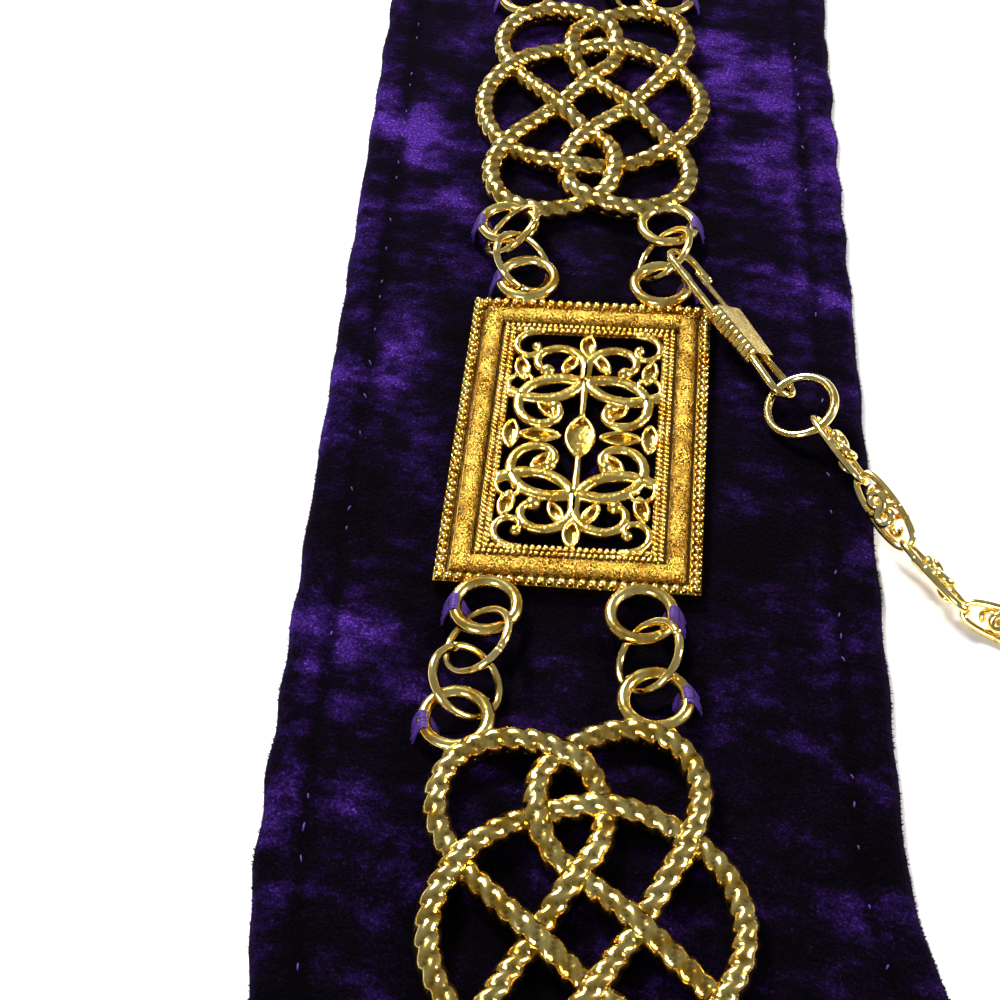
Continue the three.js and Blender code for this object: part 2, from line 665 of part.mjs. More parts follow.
const hookPlaque = places[3];
const ringCentres = {};
for (const [side, group] of Object.entries(sides)) {
  const carrier = new THREE.Group();
  carrier.position.set(hookPlaque.centre.x, hookPlaque.centre.y, 0);
  carrier.rotation.z = hookPlaque.lean;
  group.add(carrier);
  const clasp = new THREE.Group();
  clasp.position.set(HOOK_ACROSS, HOOK_ALONG, EYE_PLANE + HOOK_RISE);
  clasp.rotation.set(HOOK_ROLL, HOOK_PITCH, HOOK_YAW, 'ZYX');
  carrier.add(clasp);
  addMesh(`snap_hook_${side}`, hookGeometry(), paleGold, clasp);
  addMesh(`hook_tongue_${side}`, tongueGeometry(), paleGold, clasp);
  const bigRing = addMesh(`big_ring_${side}`, ringGeometry(BIG_RING_RADIUS, BIG_RING_WIRE), paleGold, carrier);
  clasp.updateMatrix();
  carrier.updateMatrix();
  bigRing.position.set(BIG_RING_ALONG, BIG_RING_ASIDE, BIG_RING_RISE).applyMatrix4(clasp.matrix);
  bigRing.rotation.set(BIG_RING_ROLL, 0, BIG_RING_YAW, 'ZYX');
  ringCentres[side] = bigRing.position.clone().applyMatrix4(carrier.matrix);
}
addMesh('chest_chain', chestChainGeometry(ringCentres.left), paleGold);

collar.position.y = -ORIGIN_Y;
const whole = new THREE.Group();
whole.add(collar);

export default whole;
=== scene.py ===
import random
from math import atan2, copysign, cos, pi, radians, sin, sqrt

import bpy
import numpy as np
from mathutils import Euler, Matrix, Vector


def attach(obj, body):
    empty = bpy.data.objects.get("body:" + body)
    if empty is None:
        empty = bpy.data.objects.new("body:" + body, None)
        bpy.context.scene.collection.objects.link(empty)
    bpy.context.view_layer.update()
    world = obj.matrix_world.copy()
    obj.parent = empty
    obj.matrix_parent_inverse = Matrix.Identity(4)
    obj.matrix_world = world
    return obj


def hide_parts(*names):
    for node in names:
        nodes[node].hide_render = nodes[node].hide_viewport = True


# Velvet chain collar, lying flat
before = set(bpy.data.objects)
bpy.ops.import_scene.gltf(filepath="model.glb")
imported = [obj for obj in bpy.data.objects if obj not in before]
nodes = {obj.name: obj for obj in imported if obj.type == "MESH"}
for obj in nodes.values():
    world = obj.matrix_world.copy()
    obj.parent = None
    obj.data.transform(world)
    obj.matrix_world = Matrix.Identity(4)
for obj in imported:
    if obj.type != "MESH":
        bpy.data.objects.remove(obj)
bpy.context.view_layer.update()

MM = 0.001
UP = Vector((0, 0, 1))
CURVE_STEPS = 12

# Velvet band, in millimetres, with the neck's centre as origin of the outline
BAND_HALF = 50.0
BAND_THICKNESS = 3.0
NECK_RADIUS = 115.0
ARM_ANGLE = radians(12)
ARM_LENGTH = 211.2
BEND_RADIUS = 150.0
POINT_ANGLE = radians(40)

# Hem groove, then the edge: height of its wave, how far in that reaches, rounding and least height
HEM_INSET = 7.6
HEM_WIDTH = 0.9
HEM_DEPTH = 0.75
EDGE_WAVE = 0.32
EDGE_REACH = 6.0
EDGE_ROUND = 2.2
EDGE_HEIGHT = 0.45

# Underside: height above the ground, and inset of its edges
UNDER_HEIGHT = 0.12
UNDER_INSET = 1.2

# Pressed places under the rings: least height, margin round the ring and width of the slope
PRESS_WALL = 1.0
PRESS_MARGIN = 0.9
PRESS_SLOPE = 1.5

# Links: lift of the cast links, eyes as (across, along), rings as (radius, wire)
LINK_LIFT = 3.3
EYE_HEIGHT = 2.6
EYE_RADIUS = 5.2
EYE_WIRE = 2.35
KNOT_EYE = (16.0, 39.2)
PLAQUE_EYE = (13.0, 40.5)
JUMP_RADIUS = 6.3
JUMP_WIRE = 1.5
POINT_RING = (12.0, 2.2)
BIG_RING = (6.2, 1.7)


# Places of the CAD pieces
def principal_frame(node):
    """Middle, long direction and normal of a symmetric CAD piece, from the spread of its faces."""
    mesh = nodes[node].data
    points = np.array([v.co for v in mesh.vertices], dtype=float)
    mesh.calc_loop_triangles()
    corners = np.array([t.vertices[:] for t in mesh.loop_triangles])
    a, b, c = (points[corners[:, k]] for k in range(3))
    areas = np.linalg.norm(np.cross(b - a, c - a), axis=1)
    middles = (a + b + c) / 3
    centre = (middles * areas[:, None]).sum(0) / areas.sum()
    away = middles - centre
    spread = (away * areas[:, None]).T @ away
    _, directions = np.linalg.eigh(spread)
    along, normal = Vector(directions[:, 2]), Vector(directions[:, 0])
    return Vector(centre), along, -normal if normal.z < 0 else normal


def matrix_of(centre, x_axis, y_axis, z_axis):
    matrix = Matrix((x_axis, y_axis, z_axis)).transposed().to_4x4()
    matrix.translation = centre
    return matrix


# Meshes
def mesh_object(name, vertices, faces, material, body="collar", smooth=True):
    mesh = bpy.data.meshes.new(name)
    mesh.from_pydata([tuple(v) for v in vertices], [], faces)
    mesh.validate()
    mesh.update()
    if smooth:
        mesh.polygons.foreach_set("use_smooth", [True] * len(mesh.polygons))
    obj = bpy.data.objects.new(name, mesh)
    bpy.context.scene.collection.objects.link(obj)
    mesh.materials.append(material)
    if body:
        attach(obj, body)
    return obj


class Builder:
    """Collects the vertices and faces of one piece."""

    def __init__(self):
        self.vertices = []
        self.faces = []
        self.tones = []

    def add(self, vertices, faces, tone=0.0):
        base = len(self.vertices)
        self.vertices += [tuple(v) for v in vertices]
        tones = tone if hasattr(tone, "__len__") else [tone] * len(vertices)
        self.tones += list(tones)
        self.faces += [tuple(base + i for i in face) for face in faces]

    def merge(self, other, matrix):
        moved = [matrix @ Vector(v) for v in other.vertices]
        flip = matrix.determinant() < 0
        faces = [face[::-1] for face in other.faces] if flip else other.faces
        self.add(moved, faces, other.tones)

    def object(self, name, material, node=None, body="collar", smooth=True):
        """The piece as an object; node names the CAD piece that it stands for."""
        obj = mesh_object(name, self.vertices, self.faces, material, body, smooth)
        # The tones are painted light: painted shade on the metal, and on the pile painted sheen and
        # painted shade in the hem crease.
        shade = obj.data.attributes.new("painted_light", "FLOAT", "POINT")
        shade.data.foreach_set("value", self.tones)
        if node:
            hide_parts(node)
        return obj


def skin(sections, closed):
    """Faces that join sections of points; open runs get flat ends."""
    sides = len(sections[0])
    points = [p for section in sections for p in section]
    faces = []
    runs = len(sections) if closed else len(sections) - 1
    for i in range(runs):
        here, there = i * sides, (i + 1) % len(sections) * sides
        for k in range(sides):
            n = (k + 1) % sides
            faces.append((here + k, here + n, there + n, there + k))
    if not closed:
        last = (len(sections) - 1) * sides
        faces.append(tuple(range(sides))[::-1])
        faces.append(tuple(last + k for k in range(sides)))
    return points, faces


def point_at(points, i, closed):
    """The point at i, counted on round a closed run or held at the ends of an open one."""
    return points[i % len(points) if closed else min(max(i, 0), len(points) - 1)]


def sweep(route, closed, profile):
    """Skin over the sections that profile(i, share) gives, as (left, up) pairs, along a route."""
    sections = []
    for i, point in enumerate(route):
        heading = (point_at(route, i + 1, closed) - point_at(route, i - 1, closed)).normalized()
        left = UP.cross(heading).normalized()
        over = heading.cross(left)
        pairs = profile(i, i / max(len(route) - 1, 1))
        sections.append([point + left * x + over * y for x, y in pairs][::-1])
    return skin(sections, closed)


def turns_of(count):
    return [2 * pi * k / count for k in range(count)]


def polar(turn, radius):
    return Vector((radius * cos(turn), radius * sin(turn), 0))


def flat(points):
    return [Vector((x, y, 0)) for x, y in points]


def round_profile(radius, sides):
    return lambda _i, _share: [(radius * cos(t), radius * sin(t)) for t in turns_of(sides)]


def resample(points, step, closed):
    """Points at an even distance along a Catmull-Rom curve through the given points."""
    dense = []
    for i in range(len(points) if closed else len(points) - 1):
        p = [point_at(points, i + k, closed) for k in (-1, 0, 1, 2)]
        bow = 2 * p[0] - 5 * p[1] + 4 * p[2] - p[3]
        skew = 3 * p[1] - p[0] - 3 * p[2] + p[3]
        for t in (s / CURVE_STEPS for s in range(CURVE_STEPS)):
            dense.append(0.5 * ((2 * p[1]) + (p[2] - p[0]) * t + bow * t * t + skew * t ** 3))
    dense.append(point_at(points, len(points), closed))
    lengths = [0.0]
    for a, b in zip(dense, dense[1:]):
        lengths.append(lengths[-1] + (b - a).length)
    wanted = max(int(round(lengths[-1] / step)), 3)
    result = []
    k = 0
    for i in range(wanted if closed else wanted + 1):
        reach = lengths[-1] * i / wanted
        while k < len(lengths) - 2 and lengths[k + 1] < reach:
            k += 1
        span = lengths[k + 1] - lengths[k]
        share = (reach - lengths[k]) / span if span else 0
        result.append(dense[k].lerp(dense[k + 1], share))
    return result


# Materials
def node_material(name):
    material = bpy.data.materials.new(name)
    material.use_nodes = True
    tree = material.node_tree
    shader = next(n for n in tree.nodes if n.type == "BSDF_PRINCIPLED")
    place = tree.nodes.new("ShaderNodeTexCoord")
    return material, tree, shader, place.outputs["Object"]


def set_inputs(node, values):
    for name, value in values.items():
        node.inputs[name].default_value = value


def noise(tree, place, scale, detail=3.0, roughness=0.55):
    node = tree.nodes.new("ShaderNodeTexNoise")
    set_inputs(node, {"Scale": scale, "Detail": detail, "Roughness": roughness})
    tree.links.new(place, node.inputs["Vector"])
    return node.outputs["Fac"]


def ramp(tree, source, stops):
    node = tree.nodes.new("ShaderNodeValToRGB")
    while len(node.color_ramp.elements) < len(stops):
        node.color_ramp.elements.new(0.5)
    for element, (at, colour) in zip(node.color_ramp.elements, stops):
        element.position = at
        element.color = (*colour, 1)
    tree.links.new(source, node.inputs["Fac"])
    return node.outputs["Color"]


def mix(tree, kind, a, b, factor):
    node = tree.nodes.new("ShaderNodeMixRGB")
    node.blend_type = kind
    for socket, value in (("Color1", a), ("Color2", b), ("Fac", factor)):
        if hasattr(value, "links"):
            tree.links.new(value, node.inputs[socket])
        elif socket == "Fac":
            node.inputs[socket].default_value = value
        else:
            node.inputs[socket].default_value = (*value, 1)
    return node.outputs["Color"]


def grey(value):
    return value, value, value


def painted_light_of(tree):
    """The attribute that a Builder writes: painted shade in the hollows of metal, and on the pile painted
    sheen where it is brushed up and painted shade in the hem crease.
    """
    node = tree.nodes.new("ShaderNodeAttribute")
    node.attribute_name = "painted_light"
    return node.outputs["Fac"]


def bump(tree, shader, height, strength, distance):
    node = tree.nodes.new("ShaderNodeBump")
    set_inputs(node, {"Strength": strength, "Distance": distance})
    tree.links.new(height, node.inputs["Height"])
    tree.links.new(node.outputs["Normal"], shader.inputs["Normal"])


def velvet_material():
    """Crushed pile: nearly black where it lies away, violet with painted sheen where its tone attribute
    says it is brushed up; that attribute also paints shade in the hem crease, and sparse specks are
    painted glints.
    """
    material, tree, shader, place = node_material("velvet_pile")
    stretch = tree.nodes.new("ShaderNodeMapping")
    set_inputs(stretch, {"Scale": (0.55, 1.0, 1.0)})
    tree.links.new(place, stretch.inputs["Vector"])
    streaks = noise(tree, stretch.outputs["Vector"], 190, 5.0, 0.65)
    clouds = noise(tree, place, 72, 6.0, 0.7)
    level = None
    for source, weight in ((streaks, 1.0), (clouds, 0.9), (painted_light_of(tree), 0.5)):
        node = tree.nodes.new("ShaderNodeMath")
        node.operation = "MULTIPLY_ADD"
        tree.links.new(source, node.inputs[0])
        node.inputs[1].default_value = weight
        if level is None:
            node.inputs[2].default_value = -0.53
        else:
            tree.links.new(level, node.inputs[2])
        level = node.outputs[0]
    # Pile colour from nearly black to violet; the violet is partly painted sheen where the pile is
    # brushed up.
    brushed_pile_sheen = ramp(tree, level, [
        (0.3, (0.0007, 0.0003, 0.001)), (0.47, (0.002, 0.0007, 0.0045)),
        (0.62, (0.0085, 0.0024, 0.032)), (0.85, (0.042, 0.013, 0.16))])
    # Darker specks in the pile, and sparse painted glints up to nine times lighter.
    pile_specks_and_glints = ramp(tree, noise(tree, place, 1900, 3.0, 0.8), [
        (0.35, grey(0.3)), (0.52, grey(0.8)), (0.63, (2.2, 2.0, 2.0)), (0.74, (9.0, 8.0, 6.5))])
    coloured = mix(tree, "MULTIPLY", brushed_pile_sheen, pile_specks_and_glints, 1.0)
    tree.links.new(coloured, shader.inputs["Base Color"])
    set_inputs(shader, {"Roughness": 0.95, "Specular IOR Level": 0.02, "Sheen Weight": 0.04,
                        "Sheen Roughness": 0.3, "Sheen Tint": (0.3, 0.1, 0.85, 1)})
    bump(tree, shader, noise(tree, place, 1300, 3.0, 0.7), 0.9, 0.0007)
    return material


def thread_material():
    material, tree, shader, place = node_material("purple_thread")
    strands = noise(tree, place, 900)
    colour = ramp(tree, strands, [(0.35, (0.02, 0.004, 0.09)), (0.7, (0.075, 0.016, 0.26))])
    tree.links.new(colour, shader.inputs["Base Color"])
    set_inputs(shader, {"Roughness": 0.6})
    return material


def gilt_material(name, light, deep, roughness, grain_scale, grain, grain_and_glints=None):
    """Gilt casting or wire; the last argument gives the darkest and lightest factor of its sparkling
    grain, whose lightest specks are painted glints.
    """
    material, tree, shader, place = node_material(name)
    cloud = noise(tree, place, 260, 3.0)
    tone = ramp(tree, cloud, [(0.35, deep), (0.62, light)])
    if grain_and_glints:
        dark, bright = grain_and_glints
        # Darker specks of grain, and lighter ones that are painted glints.
        grain_and_glint_factor = ramp(tree, noise(tree, place, grain_scale, 2.0, 0.7), [
            (0.36, grey(dark)), (0.5, (0.8, 0.75, 0.65)), (0.66, grey(bright))])
        tone = mix(tree, "MULTIPLY", tone, grain_and_glint_factor, 1.0)
    # Painted shade: the gilt turns dark brown where the tones mark hollows, grooves and walls.
    coloured = mix(tree, "MIX", tone, (0.15, 0.075, 0.008), painted_light_of(tree))
    tree.links.new(coloured, shader.inputs["Base Color"])
    set_inputs(shader, {"Metallic": 1.0})
    rough = tree.nodes.new("ShaderNodeMapRange")
    set_inputs(rough, {"From Min": 0.3, "From Max": 0.7,
                       "To Min": roughness * 0.7, "To Max": roughness * 1.5})
    tree.links.new(noise(tree, place, 700, 4.0), rough.inputs["Value"])
    tree.links.new(rough.outputs["Result"], shader.inputs["Roughness"])
    bump(tree, shader, noise(tree, place, grain_scale, 3.0, 0.6), grain, 0.0004)
    return material


VELVET = velvet_material()
THREAD = thread_material()
# Name, light and deep colour, roughness, then scale and strength of the grain
CAST = gilt_material("cast_gilt", (1.0, 0.8, 0.25), (0.72, 0.4, 0.045), 0.16, 1100, 0.12)
BRIGHT = gilt_material("bright_gilt", (1.0, 0.83, 0.32), (0.84, 0.55, 0.12), 0.13, 500, 0.06)
GRAIN = gilt_material("grained_gilt", (0.72, 0.47, 0.08), (0.3, 0.16, 0.02), 0.24, 2600, 1.0,
                      grain_and_glints=(0.2, 1.7))
WORK = gilt_material("scroll_gilt", (1.0, 0.76, 0.2), (0.75, 0.44, 0.06), 0.17, 1300, 0.3)
BRUSHED = gilt_material("brushed_gilt", (1.0, 0.79, 0.26), (0.84, 0.54, 0.11), 0.2, 1200, 0.08)

# Velvet band
NECK_TURN = pi / 2 + ARM_ANGLE
NECK_LENGTH = NECK_RADIUS * NECK_TURN
BEND_LENGTH = BEND_RADIUS * (POINT_ANGLE - ARM_ANGLE)
BEND_END = NECK_LENGTH + ARM_LENGTH + BEND_LENGTH


def heading_of(turn):
    return Vector((-cos(turn), -sin(turn)))


def inward_of(turn):
    return Vector((sin(turn), -cos(turn)))


def centre_line(station):
    """Point and turn of the band's centre line on the side of -X, in millimetres."""
    neck_turn = min(station / NECK_RADIUS, NECK_TURN)
    point = Vector((-sin(neck_turn), cos(neck_turn))) * NECK_RADIUS
    if station <= NECK_LENGTH:
        return point, neck_turn
    point += heading_of(NECK_TURN) * min(station - NECK_LENGTH, ARM_LENGTH)
    bend = min(max(station - NECK_LENGTH - ARM_LENGTH, 0), BEND_LENGTH)
    turn = NECK_TURN + bend / BEND_RADIUS
    point += (inward_of(NECK_TURN) - inward_of(turn)) * BEND_RADIUS
    return point, turn


end_point = centre_line(BEND_END)[0]
point_run = -end_point.x / sin(POINT_ANGLE)
tip_y = end_point.y - point_run * cos(POINT_ANGLE)
outline_low = tip_y - BAND_HALF / sin(POINT_ANGLE)
outline_high = NECK_RADIUS + BAND_HALF
ORIGIN_Y = (outline_low + outline_high) / 2
HALF_LENGTH = BEND_END + point_run


def band_point(station, inset):
    """Plan point of the band: inset is across it, positive towards the inner edge."""
    point, turn = centre_line(min(station, BEND_END))
    point = point + inward_of(turn) * inset
    if station > BEND_END:
        share = (station - BEND_END) / point_run
        heading = heading_of(turn)
        point += heading * (-point.x / heading.x * share)
    return Vector((point.x, point.y - ORIGIN_Y))


RING_NODES = sorted(n for n in nodes if n.startswith("jump_ring")) + ["point_ring"]


def ring_presses():
    """Plan place and radius of each ring that presses the pile down, in millimetres."""
    places = []
    for node in RING_NODES:
        centre = principal_frame(node)[0]
        radius = POINT_RING[0] if node == "point_ring" else JUMP_RADIUS
        places.append((centre.x / MM, centre.y / MM, radius))
    return places


PRESSES = ring_presses()

# Height, length in plan and seed of the low waves of the velvet's top
LOW_WAVES = [(0.1, 55, 3), (0.07, 14, 4)]
PILE_RISE = 0.12
# Rise, inset and width of the padded roll between hem and edge
EDGE_ROLL = (0.3, 4.0, 2.2)


def smooth_step(value):
    value = np.clip(value, 0, 1)
    return value * value * (3 - 2 * value)


def wave(x, y, length, seed):
    """A slow uneven wave, -1 to 1, made of a few crossing sines."""
    total = 0
    source = random.Random(seed)
    for _ in range(5):
        turn = source.uniform(0, pi)
        span = length * source.uniform(0.7, 1.5)
        phase = source.uniform(0, 2 * pi)
        reach = x * cos(turn) + y * sin(turn)
        total = total + np.sin(reach * 2 * pi / span + phase)
    return total / 3


def band_height(x, y, inset):
    """Top of the velvet in millimetres, for arrays of plan points."""
    top = BAND_THICKNESS + PILE_RISE
    for height, length, seed in LOW_WAVES:
        top = top + height * wave(x, y, length, seed)
    edge = BAND_HALF - np.abs(inset)
    hem = np.exp(-((edge - HEM_INSET) / HEM_WIDTH) ** 2)
    pucker = 0.55 + 0.45 * wave(x, y, 9, 5)
    rise, roll_inset, roll_width = EDGE_ROLL
    top = top - hem * (HEM_DEPTH * pucker) + rise * np.exp(-((edge - roll_inset) / roll_width) ** 2)
    top = top * np.sqrt(np.clip(1 - (1 - np.clip(edge / EDGE_ROUND, 0, 1)) ** 2, 0.02, 1))
    pressed = np.zeros_like(x)
    for centre_x, centre_y, radius in PRESSES:
        near = np.hypot(x - centre_x, y - centre_y)
        share = smooth_step((radius + PRESS_MARGIN + PRESS_SLOPE - near) / PRESS_SLOPE)
        pressed = np.maximum(pressed, share)
    return top - pressed * np.maximum(top - PRESS_WALL - 0.02, 0)


# Places in the photo where the pile is brushed up, painted lighter as sheen, as (station, inset, reach,
# strength)
CRUSH_SHEEN_MARKS = [
    (250, -42, 20, 0.75), (275, -30, 15, 0.6), (232, 30, 20, 0.75), (300, 40, 13, 0.65),
    (255, 44, 16, 0.7), (215, 8, 14, 0.5), (318, -44, 12, 0.5), (342, -36, 12, 0.35),
    (382, 45, 9, 0.5), (385, -47, 14, 0.5), (268, 20, 10, 0.4), (422, -46, 12, 0.35),
    (440, 47, 9, 0.35), (214, -20, 14, 0.5)]
SEEN_STATIONS = (200, 460)
LOOSE_SHEEN_MARKS = 90


def crush_sheen_marks():
    """The painted sheen marks above on side 1, and loose ones along the rest of the band."""
    source = random.Random(17)
    marks = [(station, 1, *mark) for station, *mark in CRUSH_SHEEN_MARKS]
    for _ in range(LOOSE_SHEEN_MARKS):
        side = source.choice((-1, 1))
        station = source.uniform(0, HALF_LENGTH)
        if side == 1 and SEEN_STATIONS[0] < station < SEEN_STATIONS[1]:
            continue
        inset = copysign(BAND_HALF - abs(source.gauss(0, 16)), source.choice((-1, 1)))
        marks.append((station, side, inset, source.uniform(8, 19), source.uniform(0.3, 0.7)))
    return marks


def brushed_sheen_tone(x, y, edge):
    """How far the pile is brushed up, 0 to 1, painted as sheen and as shade in the hem crease, for arrays
    of plan points.
    """
    # Painted sheen, lightest at the very edge; a little darker towards the middle.
    tone = 0.16 * np.exp(-edge / 3.0) - 0.1 * np.clip(edge / BAND_HALF, 0, 1)
    # Painted shade in the hem crease.
    hem = -0.35 * np.exp(-((edge - HEM_INSET) / 1.3) ** 2)
    sheen_marked = np.zeros_like(x)
    for station, side, inset, reach, strength in crush_sheen_marks():
        p = band_point(station, inset)
        near = np.hypot((x + side * -p.x) * 0.75, y - p.y) / reach
        sheen_marked = np.maximum(sheen_marked, strength * np.exp(-near ** 2))
    ragged = 0.75 + 0.5 * wave(x, y, 17, 8)
    return np.clip((tone + sheen_marked) * ragged + hem, -0.4, 0.85)


ROW_STEP = 2.6
EDGE_INSETS = [0.0, 0.25, 0.7, 1.4, 2.4, 3.6, 5.2, 6.3, 7.0, 7.6, 8.2, 8.9, 10.2, 12.2]
INNER_STEP = 2.6


def across_insets():
    """Insets of the points across the top, close together at the hems."""
    outer = [-BAND_HALF + e for e in EDGE_INSETS]
    inner_width = 2 * (BAND_HALF - EDGE_INSETS[-1])
    count = int(round(inner_width / INNER_STEP))
    middle = [outer[-1] + inner_width * k / count for k in range(1, count)]
    return outer + middle + [-inset for inset in outer[::-1]]


def band_rows():
    """Stations and sides of the rows, once round the loop from the middle of the neck."""
    count = int(HALF_LENGTH / ROW_STEP)
    stations = [HALF_LENGTH * k / count for k in range(count + 1)]
    return [(s, 1) for s in stations] + [(s, -1) for s in stations[-2:0:-1]]


def edge_shift(x, y, inset):
    """How far a plan point near the edge stands out of the even outline."""
    share = 1 - (BAND_HALF - abs(inset)) / EDGE_REACH
    return (EDGE_WAVE * float(wave(x, y, 13, 6)) - EDGE_WAVE / 2) * max(share, 0)


def build_band():
    """Cloth once round the loop: a wavy top with its hems, and a flat underside."""
    top = across_insets()
    under = [BAND_HALF - UNDER_INSET, BAND_HALF / 2, 0.0, -BAND_HALF / 2, UNDER_INSET - BAND_HALF]
    rows = band_rows()
    plan = np.array([[(side * p.x, p.y) for p in (band_point(s, inset) for inset in top + under)]
                     for s, side in rows])
    count = len(top)
    for row in plan:
        for k, across in enumerate(top + under):
            if BAND_HALF - abs(across) < EDGE_REACH:
                away = row[k] - row[count // 2]
                row[k] += away / np.hypot(*away) * edge_shift(*row[k], across)
    x, y = plan[:, :count, 0], plan[:, :count, 1]
    inset = np.tile(np.array(top), (len(rows), 1))
    heights = np.full(plan.shape[:2], UNDER_HEIGHT)
    heights[:, :count] = np.maximum(band_height(x, y, inset), EDGE_HEIGHT)
    tones = np.zeros(plan.shape[:2])
    tones[:, :count] = brushed_sheen_tone(x, y, BAND_HALF - np.abs(inset))
    sections = [[Vector((*p, z)) * MM for p, z in zip(row, levels)] for row, levels in zip(plan, heights)]
    points, faces = skin(sections, True)
    band = Builder()
    band.add(points, [face[::-1] for face in faces], tones.ravel())
    obj = band.object("velvet_cloth", VELVET, "velvet_band")


def top_at(station, side, inset):
    p = band_point(station, inset)
    x, y = side * p.x, p.y
    z = float(band_height(np.array([x]), np.array([y]), np.array([inset]))[0])
    return Vector((x, y, z)) * MM


# Hem stitches: first and last place from the neck's middle and the point, pitch, length and radius,
# how far the middles rise and the ends sink, and the share out of sight
STITCH_START = 1.0
STITCH_STOP = 4.0
STITCH_PITCH = 4.6
STITCH_LENGTH = 1.3
STITCH_RADIUS = 0.16
STITCH_RISE = 0.16
STITCH_SINK = 0.2
HIDDEN_STITCHES = 0.55


def build_stitches():
    """Short thread dashes along the hem; the ones sunk out of sight in its groove are left out."""
    thread = Builder()
    source = random.Random(21)
    for sign in (-1, 1):
        inset = sign * (BAND_HALF - HEM_INSET)
        for side in (-1, 1):
            station = STITCH_START
            while station < HALF_LENGTH - STITCH_STOP:
                slant = source.uniform(-0.35, 0.35)
                if source.random() < HIDDEN_STITCHES:
                    station += STITCH_PITCH
                    continue
                low, high = station, station + STITCH_LENGTH * source.uniform(0.8, 1.1)
                dash = [top_at(low, side, inset - slant), top_at((low + high) / 2, side, inset),
                        top_at(high, side, inset + slant)]
                for point, rise in zip(dash, (-STITCH_SINK, STITCH_RISE, -STITCH_SINK)):
                    point.z += rise * MM
                thread.add(*sweep(dash, False, round_profile(STITCH_RADIUS * MM, 5)))
                station += STITCH_PITCH * source.uniform(0.9, 1.1)
    thread.object("hem_stitches", THREAD)


# Loose pile: number of tufts, half their width and their thickness at the foot
TUFTS = 15000
TUFT_HALF = 0.2
TUFT_THICKNESS = 0.14


def build_fuzz():
    """Loose pile that stands out along both edges of the band."""
    fuzz = Builder()
    source = random.Random(33)
    for _ in range(TUFTS):
        sign = source.choice((-1, 1))
        side = source.choice((-1, 1))
        station = source.uniform(0, HALF_LENGTH)
        level = source.uniform(0.25, 1.9)
        inset = BAND_HALF - abs(source.gauss(0.0, 0.2)) - level * 0.3
        foot = band_point(station, sign * inset)
        out = band_point(station, sign * (inset + 1)) - foot
        outward = Vector((side * out.x, out.y, 0))
        along = Vector((-out.y * side, out.x, 0))
        base = Vector((side * foot.x, foot.y, level))
        base += outward * edge_shift(base.x, base.y, inset)
        tip = base + outward * source.uniform(0.15, 0.7)
        tip += along * source.uniform(-0.8, 0.8) + UP * source.uniform(-0.3, 0.7)
        half = along * TUFT_HALF
        tuft = [base - half, base + half, tip, base + UP * TUFT_THICKNESS]
        fuzz.add([p * MM for p in tuft], [(0, 1, 2), (1, 3, 2), (3, 0, 2)], source.uniform(-0.2, 0.45))
    fuzz.object("edge_pile", VELVET)


build_band()
build_stitches()
build_fuzz()


# Cast and bent metal, each shape built once in its own millimetres and then placed
def place_copies(builder, material, places):
    """One piece of the collar for each (name, matrix in metres, replaced node or None)."""
    for name, matrix, node in places:
        piece = Builder()
        piece.merge(builder, matrix @ Matrix.Scale(MM, 4))
        piece.object(name, material, node)


def torus(radius, wire, steps, sides, centre=(0, 0, 0)):
    route = [polar(turn, radius) + Vector(centre) for turn in turns_of(steps)]
    return sweep(route, True, round_profile(wire / 2, sides))


def ball(centre, radius, rings, sides, squash=1.0):
    centre = Vector(centre)
    points = [centre + UP * -radius * squash]
    for i in range(1, rings):
        lat = -pi / 2 + pi * i / rings
        level = centre + UP * radius * sin(lat) * squash
        points += [level + polar(turn, radius * cos(lat)) for turn in turns_of(sides)]
    points.append(centre + UP * radius * squash)
    faces = []
    last = len(points) - 1
    for k in range(sides):
        n = (k + 1) % sides
        faces.append((0, 1 + n, 1 + k))
        for i in range(rings - 2):
            a, b = 1 + i * sides, 1 + (i + 1) * sides
            faces.append((a + k, a + n, b + n, b + k))
        top = 1 + (rings - 2) * sides
        faces.append((last, top + k, top + n))
    return points, faces


# Solder drop at each eye: radius, and how far it lies from the wire and below it
DROP_RADIUS = 1.5
DROP_SHIFT = 0.2
DROP_FALL = 0.3
EYE_STEPS = 40


def eye_spots(across, along):
    return [(x, y) for x in (-across, across) for y in (-along, along)]


def add_eyes(piece, across, along):
    """Four wire eyes, each soldered on with a drop."""
    for x, y in eye_spots(across, along):
        piece.add(*torus(EYE_RADIUS, EYE_WIRE, EYE_STEPS, 12, (x, y, EYE_HEIGHT)))
        drop = (x, copysign(along - EYE_RADIUS - DROP_SHIFT, y), EYE_HEIGHT - DROP_FALL)
        piece.add(*ball(drop, DROP_RADIUS, 5, 9, 0.8))


# Knot links: one figure of eight on each side and an oval, laid over and under each other
KNOT_LOOP = [
    (12.4, 6.2), (16.9, 12.4), (19.6, 18.2), (20.4, 23.4), (19.0, 28.8), (15.6, 32.6),
    (10.2, 34.3), (4.2, 33.3), (0.0, 30.9), (-3.6, 27.6), (-5.0, 22.5), (-4.9, 17.5),
    (-3.2, 12.9), (0.0, 9.4), (3.8, 4.9), (7.7, 0.0)]
KNOT_OVAL = (23.2, 20.9)
ROPE_RADIUS = 2.2
ROPE_HEIGHT = 2.25
ROPE_WEAVE = 0.62
ROPE_LAY = 9.3
ROPE_LOBES = 3
ROPE_RELIEF = 0.3
STRAND_STEP = 0.62
# Cast core under the ropes: half width at its foot and top, and its fall below the rope's middle
CORE_FOOT = 1.6
CORE_TOP = 1.7
CORE_FALL = 0.25


